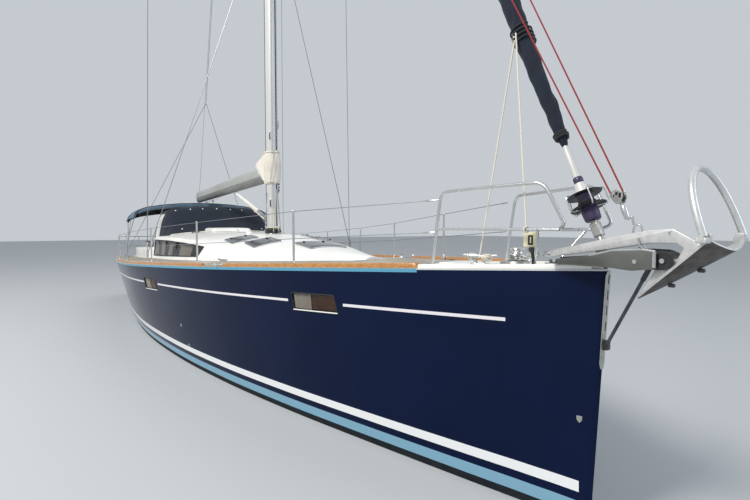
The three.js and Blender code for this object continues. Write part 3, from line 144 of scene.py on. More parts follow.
# Matt painted studio floor: hides its own grain, and takes soft shadows.
floor_paint = new_finish("studio_floor_paint", {"Base Color": srgb("B9BDC0"), "Roughness": 0.85})
floor_mesh = bmesh.new()
bmesh.ops.create_grid(floor_mesh, x_segments=1, y_segments=1, size=FLOOR_SIZE / 2)
floor_data = bpy.data.meshes.new("floor")
floor_mesh.to_mesh(floor_data)
floor = bpy.data.objects.new("floor", floor_data)
floor_data.materials.append(floor_paint)
bpy.context.scene.collection.objects.link(floor)

air = bpy.data.worlds.new("studio_air")
air.use_nodes = True
feed(air.node_tree.nodes["Background"], {"Color": srgb("E4EAF0"), "Strength": AIR_STRENGTH})
bpy.context.scene.world = air


def lamp(name, place, aim, size, watts, colour):
    """A square soft lamp that looks at a point."""
    light = bpy.data.lights.new(name, "AREA")
    light.size, light.energy, light.color = size, watts, srgb(colour)[:3]
    obj = bpy.data.objects.new(name, light)
    turn = (Vector(aim) - Vector(place)).to_track_quat("-Z", "Y")
    obj.matrix_world = Matrix.Translation(place) @ turn.to_matrix().to_4x4()
    bpy.context.scene.collection.objects.link(obj)


lamp("key_lamp", (5, -16, 18), (1, 0, 1), 7, 4700, "FFFAF4")
lamp("fill_lamp", (20, 8, 9), (4, 0, 1), 10, 700, "EAF1FF")


# Hull: one moulding of glass and polyester, navy gelcoat outside and white on deck and in the wells.
# Its stripes are gelcoat too; below them come the boot top and the dark antifouling paint.

# Columns, millimetres: distance aft of the stem, half beam at deck, deck edge height,
# half beam at waterline, depth of the canoe body, and how veed its bottom is.
SECTIONS = [
    (0, 26, 1800, 14, 160, 1.4), (450, 190, 1776, 118, 300, 1.35), (1000, 405, 1748, 300, 390, 1.25),
    (2000, 785, 1698, 625, 490, 1.1), (3200, 1185, 1636, 995, 575, 1.0), (4600, 1600, 1564, 1360, 630, 0.9),
    (6200, 1955, 1490, 1670, 660, 0.82), (8000, 2215, 1408, 1880, 655, 0.76),
    (9800, 2285, 1335, 1935, 570, 0.72), (11400, 2240, 1275, 1870, 430, 0.7),
    (12900, 2150, 1228, 1750, 265, 0.7), (14100, 2060, 1200, 1610, 115, 0.72),
    (15000, 1985, 1180, 1500, 18, 0.75),
]
HULL_LENGTH, STEM_X, STEM_TOP, STERN_FROM = 15000, 7500, 1800, 14100
STEM_RAKE, FOREFOOT_RAKE, TRANSOM_RAKE, CAMBER, NOSE = 100, 150, 400, 0.036, 34

# Millimetres: each well's length, width and sole.
WELLS = [
    ((-3100, 1950), (-1120, 1120), -150), ((2680, 3380), (-300, 300), 700),
    ((-5100, -3320), (-550, 550), 820), ((-6600, -5100), (-1270, 1270), 820),
    ((-7600, -6590), (-340, 340), 820), ((6030, 6480), (-190, 190), 1380),
    ((-4700, -3700), (680, 1140), 880), ((-4700, -3700), (-1140, -680), 880),
]
HULL_PANE = [(4605, 1210), (5225, 1238), (5190, 1408), (4580, 1385)]


def at(x, y, z):
    """A point given in millimetres, in the frame's metres."""
    return Vector((x, y, z)) / 1000


def fair(table, x):
    """A table's row at x, on the smooth curve through its rows."""
    k = max(1, next((i for i, row in enumerate(table) if row[0] >= x), len(table) - 1))
    (low, high), run = (table[k - 1], table[k]), table[k][0] - table[k - 1][0]
    t = (x - low[0]) / run

    def slope(i, c):
        a, b = table[max(i - 1, 0)], table[min(i + 1, len(table) - 1)]
        return (b[c] - a[c]) / (b[0] - a[0])

    row = [x]
    for c in range(1, len(low)):
        row.append(
            (2 * t ** 3 - 3 * t ** 2 + 1) * low[c] + (3 * t ** 2 - 2 * t ** 3) * high[c]
            + run * ((t ** 3 - 2 * t ** 2 + t) * slope(k - 1, c) + (t ** 3 - t ** 2) * slope(k, c))
        )
    return row


def beam_at(x):
    return fair(SECTIONS, STEM_X - x)[1]


def sheer_at(x):
    return fair(SECTIONS, STEM_X - x)[2]


def deck_at(x, y):
    return sheer_at(x) + CAMBER * beam_at(x) * (1 - (y / beam_at(x)) ** 2)


def hull_ring(aft, bottom=16, side=14, deck=10):
    """One section of the hull, from the keel line up to port, across the deck and down again."""
    _, beam, height, water, depth, vee = fair(SECTIONS, max(aft, 0))
    narrow = sqrt(max(0.02, 1 - (1 - min(aft, NOSE) / NOSE) ** 2))
    beam, water = beam * narrow, water * narrow
    half = []
    for i in range(bottom):
        angle = i / bottom * pi / 2
        half.append((water * sin(angle) ** vee, -depth * cos(angle) ** 1.05))
    for i in range(side):
        t = i / side
        half.append((water + (beam - water) * t ** 0.85, height * t))
    for i in range(deck + 1):
        y = beam * (1 - i / deck)
        half.append((y, height + CAMBER * beam * (1 - (y / beam) ** 2)))
    bow, stern = max(0, 1 - aft / 450), max(0, (aft - STERN_FROM) / (HULL_LENGTH - STERN_FROM))

    def place(y, z):
        stem = -STEM_RAKE * (1 - z / STEM_TOP) if z > 0 else -STEM_RAKE + FOREFOOT_RAKE * z / depth
        return at(STEM_X - aft + bow * stem + stern * TRANSOM_RAKE * z / height, y, z)

    return [place(y, z) for y, z in half] + [place(-y, z) for y, z in half[-2:0:-1]]


def loft(rings, closed=True, capped=True):
    """A skin over rings of points: a circle at the first ring, its edges extruded to each next one."""
    bm = bmesh.new()
    ring = bmesh.ops.create_circle(bm, segments=len(rings[0]), radius=1.0)["verts"]
    edges = list(bm.edges)
    if not closed:
        loose = next(e for e in edges if set(e.verts) == {ring[0], ring[-1]})
        edges.remove(loose)
        bm.edges.remove(loose)
    first = list(edges)
    for vert, point in zip(ring, rings[0]):
        vert.co = point
    for points in rings[1:]:
        made = bmesh.ops.extrude_edge_only(bm, edges=edges)["geom"]
        grown = {}
        for vert in (g for g in made if isinstance(g, bmesh.types.BMVert)):
            near = next(e.other_vert(vert) for e in vert.link_edges if e.other_vert(vert) in ring)
            grown[near] = vert
        ring = [grown[v] for v in ring]
        here = set(ring)
        edges = [g for g in made if isinstance(g, bmesh.types.BMEdge) and here.issuperset(g.verts)]
        for vert, point in zip(ring, points):
            vert.co = point
    if closed and capped:
        for end in (first, edges):
            bmesh.ops.contextual_create(bm, geom=end)
    bmesh.ops.recalc_face_normals(bm, faces=bm.faces)
    return bm


def box(x, y, z, bevel=0.0, segments=2):
    """A block between two millimetre limits along each axis, its edges rounded."""
    bm = bmesh.new()
    bmesh.ops.create_cube(bm, size=1.0)
    low, high = at(x[0], y[0], z[0]), at(x[1], y[1], z[1])
    bmesh.ops.scale(bm, verts=bm.verts, vec=high - low)
    bmesh.ops.translate(bm, verts=bm.verts, vec=(high + low) / 2)
    return rounded(bm, bevel, segments)


def rounded(bm, width, segments=2, angle=25):
    """Rounds every edge sharper than an angle by a width in millimetres."""
    if width:
        bmesh.ops.bevel(
            bm, geom=[e for e in bm.edges if e.is_manifold and e.calc_face_angle(0) > radians(angle)],
            offset=width / 1000, offset_type="OFFSET", affect="EDGES", segments=segments, profile=0.5,
            material=-1, clamp_overlap=True,
        )
    return bm


def merged(*parts):
    """Several bmeshes as one; the loose ones are freed."""
    whole = bmesh.new()
    for part in parts:
        mesh = bpy.data.meshes.new("part")
        part.to_mesh(mesh)
        part.free()
        whole.from_mesh(mesh)
        bpy.data.meshes.remove(mesh)
    return whole


def carved(bm, *cutters, operation="DIFFERENCE", shades=1):
    """One closed bmesh cut by others, each in turn; shades keeps that many material indices."""
    plain = [bpy.data.materials.new("carving") for _ in range(shades)]
    objects = []
    for part in (bm, *cutters):
        mesh = bpy.data.meshes.new("carving")
        part.to_mesh(mesh)
        part.free()
        for shade in plain:
            mesh.materials.append(shade)
        obj = bpy.data.objects.new("carving", mesh)
        bpy.context.scene.collection.objects.link(obj)
        objects.append(obj)
    for cutter in objects[1:]:
        cut = objects[0].modifiers.new("cut", "BOOLEAN")
        cut.object, cut.operation, cut.solver = cutter, operation, "MANIFOLD"
    result = bmesh.new()
    result.from_object(objects[0], bpy.context.evaluated_depsgraph_get())
    for obj in objects:
        mesh = obj.data
        bpy.data.objects.remove(obj)
        bpy.data.meshes.remove(mesh)
    for shade in plain:
        bpy.data.materials.remove(shade)
    return result


def piece(name, bm, *finishes, body="yacht", slot=None, replaces=(), smooth=35):
    """A finished piece of one bmesh or a list of them, smooth up to an angle, riding on a body."""
    bm = merged(*bm) if isinstance(bm, list) else bm
    mesh = bpy.data.meshes.new(name)
    bm.to_mesh(mesh)
    bm.free()
    mesh.polygons.foreach_set("use_smooth", [True] * len(mesh.polygons))
    mesh.set_sharp_from_angle(angle=radians(smooth))
    for finish in finishes:
        mesh.materials.append(finish)
    obj = bpy.data.objects.new(name, mesh)
    bpy.context.scene.collection.objects.link(obj)
    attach(obj, body)
    if replaces:
        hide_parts(*replaces)
    return obj


def painted(bm, index):
    """The same bmesh with every face on one material index."""
    for face in bm.faces:
        face.material_index = index
    return bm


def inset(outline, distance):
    """An outline moved inwards (or out, below zero) by a distance, with mitred corners."""
    turn = sum(a[0] * b[1] - b[0] * a[1] for a, b in zip(outline, outline[1:] + outline[:1]))
    distance *= 1 if turn > 0 else -1
    normals = []
    for (ax, ay), (bx, by) in zip(outline, outline[1:] + outline[:1]):
        length = hypot(bx - ax, by - ay)
        normals.append(((ay - by) / length, (bx - ax) / length))
    moved = []
    for k, (x, y) in enumerate(outline):
        (px, py), (nx, ny) = normals[k - 1], normals[k]
        reach = distance / (1 + px * nx + py * ny)
        moved.append((x + (px + nx) * reach, y + (py + ny) * reach))
    return moved


def bent(corners, bend, steps=6):
    """A line of points with its corners rounded; bend is how far back each curve starts, in millimetres."""
    line = [Vector(corners[0])]
    for before, corner, after in zip(corners, corners[1:], corners[2:]):
        back, on = before - corner, after - corner
        reach = min(bend / 1000, back.length * 0.45, on.length * 0.45)
        start, end = corner + back.normalized() * reach, corner + on.normalized() * reach
        for i in range(steps + 1):
            t = i / steps
            line.append(start * (1 - t) ** 2 + corner * (2 * t * (1 - t)) + end * t * t)
    return line + [Vector(corners[-1])]


def rod(points, radius, sides=12, bend=0, closed=False, radii=None):
    """A round bar of a radius in millimetres along points: a curve with a round section, made a mesh."""
    if bend:
        points = bent(points, bend)
    line = bpy.data.curves.new("rod", "CURVE")
    line.dimensions, line.use_fill_caps = "3D", True
    line.bevel_depth, line.bevel_resolution = radius / 1000, max(0, (sides - 4) // 2)
    run = line.splines.new("POLY")
    run.points.add(len(points) - 1)
    run.use_cyclic_u = closed
    for k, (knot, point) in enumerate(zip(run.points, points)):
        knot.co = (*point, 1)
        knot.radius = radii[k] / radius if radii else 1
    holder = bpy.data.objects.new("rod", line)
    mesh = bpy.data.meshes.new_from_object(holder)
    bm = bmesh.new()
    bm.from_mesh(mesh)
    bmesh.ops.remove_doubles(bm, verts=bm.verts, dist=1e-6)
    bmesh.ops.recalc_face_normals(bm, faces=bm.faces)
    bpy.data.meshes.remove(mesh)
    bpy.data.objects.remove(holder)
    bpy.data.curves.remove(line)
    return bm


def hull_side(x, z):
    """How far out the topside is at a height, in millimetres."""
    _, beam, height, water, _, _ = fair(SECTIONS, STEM_X - x)
    return water + (beam - water) * max(z / height, 0) ** 0.85


def walk(outline, step=60):
    """An outline's points with more between them, so that a line along it can follow a curved side."""
    points = []
    for (ax, ay), (bx, by) in zip(outline, outline[1:] + outline[:1]):
        count = max(1, round(hypot(bx - ax, by - ay) / step))
        points += [(ax + (bx - ax) * i / count, ay + (by - ay) * i / count) for i in range(count)]
    return points


def softened(outline, bend):
    """A flat outline with its corners rounded."""
    ring = [Vector((a, b, 0)) / 1000 for a, b in outline]
    points = []
    for k, corner in enumerate(ring):
        points += bent([(ring[k - 1] + corner) / 2, corner, (corner + ring[(k + 1) % len(ring)]) / 2],
                       bend)[1:-1]
    return [(p.x * 1000, p.y * 1000) for p in points]


# Metres: half the stripe's width, its drop below the sheer aft and forward, its fore end, and the middle and
# half length of its gaps at the windows; then the bands under the sheer, at the waterline and below it.
STRIPE_HALF, STRIPE_DROP, STRIPE_END = 0.0135, (0.199, 0.384), 6.84
STRIPE_GAPS = ((4.91, 0.39), (0.705, 0.375))
SHEER_BAND_END, SHEER_BAND_DEPTHS = 6.12, (0.034, 0.012)
BOOT_TOP, BOOT_TOP_END, LOWER_BAND, FOULED_TO = (0.265, 0.040), 7.335, (0.112, 0.047), 0.065

# Navy polyester gelcoat, polished: mirror-like, with the slow waver of a hand-faired mould.
navy_gelcoat = new_finish("navy_polyester_gelcoat",
                          {"Roughness": 0.09, "IOR": 1.5, "Specular IOR Level": 0.08})
spot = node(navy_gelcoat, "TexCoord", out="Object")
height = node(navy_gelcoat, "SeparateXYZ", {"Vector": spot}, out="Z")
fore_aft = node(navy_gelcoat, "SeparateXYZ", {"Vector": spot}, out="X")
below = node(navy_gelcoat, "Attribute", out="Fac", attribute_name="below_sheer")


def band(finish, value, middle, half):
    """1 where a value lies within half of a middle, and 0 elsewhere."""
    return node(finish, "Math", {0: value, 1: middle, 2: half}, operation="COMPARE")


def masked(finish, mask, inside, outside):
    """One colour inside a mask and another outside it."""
    return node(finish, "Mix", {0: mask, 6: outside, 7: inside}, out=2, data_type="RGBA")


weathering = node(navy_gelcoat, "TexNoise", {"Vector": spot, "Scale": 1.6, "Detail": 5.0})
colour = node(navy_gelcoat, "Mix", {0: weathering, 6: srgb("08132C"), 7: srgb("0D1C3E")}, out=2,
              data_type="RGBA")
drift = node(navy_gelcoat, "MapRange", {"Value": fore_aft, "From Min": -7.0, "From Max": 7.0,
              "To Min": STRIPE_DROP[0], "To Max": STRIPE_DROP[1]})
stripe = band(navy_gelcoat, node(navy_gelcoat, "Math", {0: below, 1: drift}, operation="SUBTRACT"), 0.0,
              STRIPE_HALF)
ahead_end = node(navy_gelcoat, "Math", {0: fore_aft, 1: STRIPE_END}, operation="LESS_THAN")
stripe = node(navy_gelcoat, "Math", {0: stripe, 1: ahead_end}, operation="MULTIPLY")
for gap in STRIPE_GAPS:
    gap = band(navy_gelcoat, fore_aft, *gap)
    stripe = node(navy_gelcoat, "Math", {0: stripe, 1: gap}, operation="SUBTRACT", use_clamp=True)
colour = masked(navy_gelcoat, stripe, srgb("E3E0E4"), colour)
bow_part = node(navy_gelcoat, "Math", {0: fore_aft, 1: SHEER_BAND_END}, operation="GREATER_THAN")
band_depth = node(navy_gelcoat, "MapRange", {"Value": bow_part, "To Min": SHEER_BAND_DEPTHS[0],
                  "To Max": SHEER_BAND_DEPTHS[1]})
sheer_band = node(navy_gelcoat, "Math", {0: below, 1: band_depth}, operation="LESS_THAN")
edge_colour = masked(navy_gelcoat, bow_part, srgb("C9CDD0"), srgb("5E9DB8"))
colour = masked(navy_gelcoat, sheer_band, edge_colour, colour)
behind_stem = node(navy_gelcoat, "Math", {0: fore_aft, 1: BOOT_TOP_END}, operation="LESS_THAN")
boot = band(navy_gelcoat, height, *BOOT_TOP)
boot = node(navy_gelcoat, "Math", {0: boot, 1: behind_stem}, operation="MULTIPLY")
colour = masked(navy_gelcoat, boot, srgb("E9EBEC"), colour)
colour = masked(navy_gelcoat, band(navy_gelcoat, height, *LOWER_BAND), srgb("7FA9BF"), colour)
fouling = node(navy_gelcoat, "Math", {0: height, 1: FOULED_TO}, operation="LESS_THAN")
slime = node(navy_gelcoat, "TexNoise", {"Vector": spot, "Scale": 9.0, "Detail": 6.0})
paint = node(navy_gelcoat, "Mix", {0: slime, 6: srgb("14181D"), 7: srgb("2B3136")}, out=2, data_type="RGBA")
colour = masked(navy_gelcoat, fouling, paint, colour)
rough = node(navy_gelcoat, "MapRange", {"Value": fouling, "To Min": 0.10, "To Max": 0.62})
waver = node(navy_gelcoat, "TexNoise", {"Vector": spot, "Scale": 1.3, "Detail": 1.0})
waver = node(navy_gelcoat, "Bump", {"Height": waver, "Distance": 0.02, "Strength": 0.22})
coat(navy_gelcoat, {"Base Color": colour, "Roughness": rough, "Normal": waver})

# White polyester gelcoat: bright, half gloss, faintly yellowed, with a fine orange peel.
white_gelcoat = patchy("white_polyester_gelcoat",
                       {"IOR": 1.5, "Coat Weight": 0.2, "Coat Roughness": 0.12},
                       (900, "F2F2EE", "E2E1DA", (0.45, 0.8)), (14, 0.12, 2.0), (0.2, 0.42))

DECK_LIFT = 0.3
AFT_PANE = [(395, 1045), (1015, 1073), (980, 1243), (370, 1220)]
stations = [0, 3, 8, 15, 24, NOSE, 60, 110, 180, 260, 350, 450, *range(600, STERN_FROM, 180)]
stations += [STERN_FROM, 14400, 14700, HULL_LENGTH]


def hull_form(rise=0.0, inwards=0.0):
    """The whole hull before anything is cut out of it, raised or moved to port by millimetres."""
    return loft([[p + at(0, inwards, rise) for p in hull_ring(aft)] for aft in stations])


hull_skin = hull_form()
for face in hull_skin.faces:
    middle = face.calc_center_median() * 1000
    face.material_index = int(face.normal.z > 0.6 and middle.z > 1100)
wells = [painted(box(x, y, (low, 2500)), 1) for x, y, low in WELLS]
hull_skin = carved(hull_skin, *wells, shades=2)


def prism(points, depth):
    """A flat ring of points filled and drawn out by a depth."""
    bm = bmesh.new()
    for vert, point in zip(bmesh.ops.create_circle(bm, segments=len(points), radius=1.0)["verts"], points):
        vert.co = point
    face = bmesh.ops.contextual_create(bm, geom=bm.edges[:])["faces"]
    grown = bmesh.ops.extrude_face_region(bm, geom=face)["geom"]
    bmesh.ops.translate(bm, verts=[g for g in grown if isinstance(g, bmesh.types.BMVert)], vec=depth)
    bmesh.ops.recalc_face_normals(bm, faces=bm.faces)
    return bm


def side_prism(outline, y0, y1):
    """An outline in side view, in millimetres, drawn out between two distances to port."""
    return prism([at(x, y0, z) for x, z in outline], at(0, y1 - y0, 0))


def under_skin(outline, side, depth):
    """The part of an outline's prism that lies further out than a depth under the topside."""
    return carved(side_prism(outline, 300 * side, side * 2400), hull_form(0, -side * depth))


for side in (1, -1):
    for pane in (HULL_PANE, AFT_PANE):
        hull_skin = carved(hull_skin, painted(under_skin(softened(pane, 28), side, 32), 0), shades=2)
drop = hull_skin.verts.layers.float.new("below_sheer")
for vert in hull_skin.verts:
    aft = min(max(STEM_X - vert.co.x * 1000, 0), HULL_LENGTH)
    vert[drop] = fair(SECTIONS, aft)[2] / 1000 - vert.co.z
piece("hull_moulding", hull_skin, navy_gelcoat, white_gelcoat, replaces=["hull"], smooth=28)


# Topside windows: tinted acrylic bonded in from outside with a black seal, one long pane each side
# forward and one more amidships; behind them hang pale curtains beside the joinery.
PANE_DEPTHS, SEAL = (4, 10), 7
SIDES = ((1, "port"), (-1, "starboard"))


def alpha_glass(name, colour, alpha):
    """Tinted acrylic sheet: dark, mirror smooth, and half seen through."""
    glass = new_finish(name, {"Base Color": srgb(colour), "Roughness": 0.03, "IOR": 1.49,
                                                "Alpha": alpha})
    swim = node(glass, "TexNoise", {"Vector": node(glass, "TexCoord", out="Object"), "Scale": 2.5,
                                    "Detail": 1.0})
    coat(glass, {"Normal": node(glass, "Bump", {"Height": swim, "Distance": 0.004, "Strength": 0.3})})
    return glass


tinted_acrylic = alpha_glass("tinted_cast_acrylic", "14110E", 0.28)

# Black rubber glazing seal: matt, a little dusty.
black_rubber = patchy("black_glazing_rubber", {"Roughness": 0.6}, (40, "151516", "242425"),
                      (3, 0.05))

# Brown joinery veneer: satin cherry, its figure drawn out along the hull.
cherry_veneer = patchy("satin_cherry_veneer", {"Roughness": 0.35},
                       (30, "7A4A2A", "4E2D18", (0.35, 0.7), (0.1, 1, 1)))

# Pale curtain cotton: soft off-white with a slub drawn out along its threads.
curtain_cotton = patchy("unbleached_curtain_cotton",
                        {"Roughness": 0.95, "Sheen Weight": 0.2},
                        (40, "E8DFD0", "CFC4B2", (0.35, 0.7), (1, 1, 0.1)), (4, 0.3, 3.0, (1, 1, 0.1)))

for side, hand in SIDES:
    for pane, where, node_name in ((HULL_PANE, "forward", f"hull_window_{hand}"),
                                   (AFT_PANE, "amidships", None)):
        glass = [under_skin(softened(inset(pane, 3), 28), side, depth) for depth in PANE_DEPTHS]
        skin = carved(glass[1], hull_form(0, -side * PANE_DEPTHS[0]), operation="INTERSECT")
        glass[0].free()
        piece(f"topside_glass_{where}_{hand}", skin, tinted_acrylic,
              replaces=[node_name] if node_name else ())
        edge = [at(x, side * (hull_side(x, z) - 1), z) for x, z in walk(softened(pane, 28))]
        piece(f"topside_seal_{where}_{hand}", rod(edge, SEAL, 8, closed=True), black_rubber)
        low, high = min(z for _, z in pane) + 12, max(z for _, z in pane) - 12
        back, front = min(x for x, _ in pane) + 22, max(x for x, _ in pane) - 22
        lip = [at(x, side * (hull_side(x, z) + 3), z - 4) for x, z in walk(pane[:2], 90)
               if x < pane[1][0] + 1]
        piece(f"topside_lip_{where}_{hand}", rod(lip[:len(lip) // 2 + 1], 7, 8), white_gelcoat)
        lining = carved(under_skin(inset(pane, 8), side, 31), hull_form(0, -side * 27),
                        operation="INTERSECT")
        piece(f"topside_joinery_{where}_{hand}", lining, cherry_veneer)
        middle = back + (front - back) * 0.42
        folds = [back + (middle - back) * i / 48 for i in range(49)]
        rows = [[at(x, side * (hull_side(x, z) - 19 + 4 * sin((x - back) / 5.5)), z) for x in folds]
                for z in (low + (high - low) * i / 6 for i in range(7))]
        curtain = piece(f"topside_curtain_{where}_{hand}", loft(rows, closed=False), curtain_cotton)


# Toe rail: a length of varnished teak bolted along each deck edge, cut down for a stretch amidships,
# where a stainless fairlead is let in and a cleat stands inboard of it.
RAIL_WIDTH, RAIL_HEIGHT, RAIL_INSET, RAIL_ROUND, RAIL_CUT, FAIRLEAD_X = 45, 45, 6, 9, 34, 3065
RAIL_RUNS = [(-6700, 2800, RAIL_HEIGHT), (2800, 3330, 12), (3330, 6120, RAIL_HEIGHT)]

# Varnished teak: orange brown under a glossy coat, with dark pores drawn out along the rail.
varnished_teak = patchy("varnished_teak",
                        {"Roughness": 0.34, "Coat Weight": 0.5, "Coat Roughness": 0.12},
                        (16, "C98F4C", "94602C", (0.3, 0.75), (0.05, 1, 1), 6.0),
                        (4, 0.1, 4.0, (0.05, 1, 1)))

# Stainless steel tube and plate, electropolished: bright, with faint hand marks.
stainless = new_finish("polished_stainless_steel",
                       {"Base Color": srgb("D2D3D2"), "Metallic": 1.0})
marks = grain(stainless, 60, 0.02, detail=5.0)
coat(stainless, {"Roughness": node(stainless, "MapRange", {"Value": marks, "To Min": 0.14, "To Max": 0.36})})


def along(back, front, step=150):
    """Distances from one end to the other at even steps."""
    count = max(1, round((front - back) / step))
    return [back + (front - back) * i / count for i in range(count + 1)]


for side, hand in SIDES:
    lengths = []
    for back, front, tall in RAIL_RUNS:
        rings = []
        for x in along(back, front):
            outer, inner = beam_at(x) - RAIL_INSET, beam_at(x) - RAIL_INSET - RAIL_WIDTH
            cut = RAIL_CUT if x == front == RAIL_RUNS[-1][1] else 0
            top = [(x - cut, y, deck_at(x, y) + tall) for y in (outer - 3, inner + 3)]
            low = [(x, y, deck_at(x, y) - 3) for y in (inner, outer)]
            rings.append([at(a, side * b, c) for a, b, c in top + low])
        lengths.append(rounded(loft(rings), RAIL_ROUND if tall > 20 else 3, 3))
    piece(f"toe_rail_{hand}_shown", lengths, varnished_teak, replaces=[f"toe_rail_{hand}"], smooth=40)


# The axes that most round parts turn about.
UP, PORT = (0, 0, 1), (0, 1, 0)


def turned(profile, origin, axis=UP, steps=40):
    """A profile of (radius, distance) pairs in millimetres, spun round an axis through a point."""
    axis = Vector(axis).normalized()
    side_way = axis.orthogonal().normalized()
    bm = bmesh.new()
    line = [bm.verts.new(Vector(origin) + (axis * far + side_way * out) / 1000) for out, far in profile]
    edges = [bm.edges.new(pair) for pair in zip(line, line[1:])]
    bmesh.ops.spin(bm, geom=line + edges, cent=origin, axis=axis, angle=2 * pi, steps=steps, use_merge=True)
    bmesh.ops.remove_doubles(bm, verts=bm.verts, dist=1e-6)
    bmesh.ops.recalc_face_normals(bm, faces=bm.faces)
    return bm


def pin(radius, low, high, origin, axis=UP, steps=40):
    """A straight round bar between two distances along an axis through a point."""
    return turned([(0, low), (radius, low), (radius, high), (0, high)], origin, axis, steps)


def cleat(x, y, z, heading, length=290):
    """A horned deck cleat on two legs over a plate; heading is its turn from fore-and-aft in degrees."""
    half = length / 2
    horns = [(-1, 5), (-0.9, 8), (-0.6, 12), (-0.25, 14), (0, 14.5), (0.25, 14), (0.6, 12), (0.9, 8),
             (1, 5)]
    bar = rod([at(half * k, 0, 62 + 10 * abs(k) ** 2) for k, _ in horns], 14, 16,
              radii=[r for _, r in horns])
    legs = [turned([(0, 0), (19, 0), (15, 8), (11, 30), (13, 60), (0, 62)], at(s, 0, 4), UP, 20)
            for s in (-34, 34)]
    whole = merged(bar, *legs, box((-70, 70), (-24, 24), (0, 6), 3))
    bmesh.ops.rotate(whole, verts=whole.verts, cent=(0, 0, 0),
                     matrix=Matrix.Rotation(radians(heading), 3, "Z"))
    bmesh.ops.translate(whole, verts=whole.verts, vec=at(x, y, z))
    return whole


for side, hand in SIDES:
    y = beam_at(FAIRLEAD_X) - 28
    horns = [rod([at(x, side * (y + 16), deck_at(x, y) + 8),
                  at(x + lean * 8, side * (y + 18), deck_at(x, y) + 44),
                  at(x + lean * 30, side * (y + 8), deck_at(x, y) + 54)], 8, 12, bend=14)
             for x, lean in ((FAIRLEAD_X - 165, 1), (FAIRLEAD_X + 165, -1))]
    plate = loft([[at(x, side * (beam_at(x) - a), deck_at(x, beam_at(x) - a) + b) for a, b in
                   ((5, 12), (52, 12), (52, 17), (5, 17))]
                  for x in along(FAIRLEAD_X - 250, FAIRLEAD_X + 250, 80)])
    piece(f"fairlead_{hand}", [rounded(plate, 1.5), *horns], stainless)
    spots = [(6610, 300, 1788, -24), (FAIRLEAD_X, beam_at(FAIRLEAD_X) - 150, 0, -12),
             (-6330, beam_at(-6330) - 260, 0, 4)]
    cleats = [cleat(x, side * b, c or deck_at(x, b) + 9, side * a) for x, b, c, a in spots]
    piece(f"deck_cleats_{hand}", cleats, stainless)


# Bow capping: a white moulding that closes the deck edge round the stem ahead of the teak,
# with a stainless strip under it down the stem face against the anchor.
STEM_STRIP = {"low": 1125, "high": 1792, "half": 25, "thick": 4}


def cast(name):
    """A bmesh of a CAD node's own solid, its loose triangles merged and its flat faces made whole."""
    bm = bmesh.new()
    bm.from_mesh(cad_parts[name].data)
    bmesh.ops.remove_doubles(bm, verts=bm.verts, dist=1e-5)
    bmesh.ops.dissolve_limit(bm, angle_limit=radians(0.6), verts=bm.verts, edges=bm.edges)
    return bm


piece("bow_capping_shown", rounded(cast("bow_capping"), 3), white_gelcoat, replaces=["bow_capping"])


def stem_x(z):
    return STEM_X - STEM_RAKE * (1 - z / STEM_TOP)


# Stem strip of the same steel, left dull: creamy with salt, pierced by long slots.
dull_stainless = patchy("dull_stainless_plate", {"Metallic": 0.9}, (90, "BDBDB8", "A09F99"),
                        (25, 0.05, 5.0), (0.28, 0.5))

strip_rings = []
for z in along(STEM_STRIP["low"], STEM_STRIP["high"], 40):
    wide = STEM_STRIP["half"] * (1 if STEM_STRIP["low"] < z < STEM_STRIP["high"] else 0.55)
    strip_rings.append([at(stem_x(z) + out - 0.006 * abs(y) ** 2, y, z) for out, y in (
        (0, -wide), (0, 0), (0, wide), (STEM_STRIP["thick"], wide), (STEM_STRIP["thick"] + 2, 0),
        (STEM_STRIP["thick"], -wide))])
strip = loft(strip_rings)
slots = [side_prism(softened([(7380, z), (7560, z), (7560, z + 62), (7380, z + 62)], 6), -5, 5)
         for z in (1385, 1490, 1595, 1700)]
piece("stem_strip", carved(strip, *slots), dull_stainless)


# Teak deck: planks bent along the sheer and glued to the deck, with black rubber caulking between them.
# The two lids in the cockpit's seats are planked the same way; the anchor locker's is a white moulding
# on the foredeck.

# The plank and half its seam in metres, and the seat lids' outer edge in millimetres.
PLANK, SEAM, SEAT_EDGE = 0.052, 0.0035, 1165

# Bare teak planking, silvered by sun and salt: matt, grey, with black rubber seams along the deck edge,
# drawn wider than the real 4 mm so that they show.
weathered_teak = new_finish("weathered_teak_planks", {"Roughness": 0.8})
spot = node(weathered_teak, "TexCoord", out="Object")
fibre = node(weathered_teak, "Mapping", {"Vector": spot, "Scale": (0.04, 1, 1)})
fibre = node(weathered_teak, "TexNoise", {"Vector": fibre, "Scale": 140.0, "Detail": 5.0})
patches = node(weathered_teak, "TexNoise", {"Vector": spot, "Scale": 1.8, "Detail": 3.0})
fibre = node(weathered_teak, "Math", {0: fibre, 1: patches}, operation="MULTIPLY")
fibre = node(weathered_teak, "MapRange", {"Value": fibre, "From Min": 0.12, "From Max": 0.42})
wood = node(weathered_teak, "Mix", {0: fibre, 6: srgb("8E877A"), 7: srgb("BFBAAE")}, out=2, data_type="RGBA")
across = node(weathered_teak, "Attribute", out="Fac", attribute_name="from_edge")
across = node(weathered_teak, "Math", {0: across, 1: PLANK / 2}, operation="PINGPONG")
seam = node(weathered_teak, "Math", {0: across, 1: SEAM}, operation="LESS_THAN")
coat(weathered_teak, {"Base Color": masked(weathered_teak, seam, srgb("35332F"), wood)})
grain(weathered_teak, 5, 0.3, detail=4.0, stretch=(0.06, 1, 1))


def planked(bm, edge_at):
    """Marks every point with its distance from the plank that the rest are laid against, in metres."""
    laid = bm.verts.layers.float.new("from_edge")
    for vert in bm.verts:
        vert[laid] = edge_at(vert.co.x * 1000) / 1000 - abs(vert.co.y)
    return bm


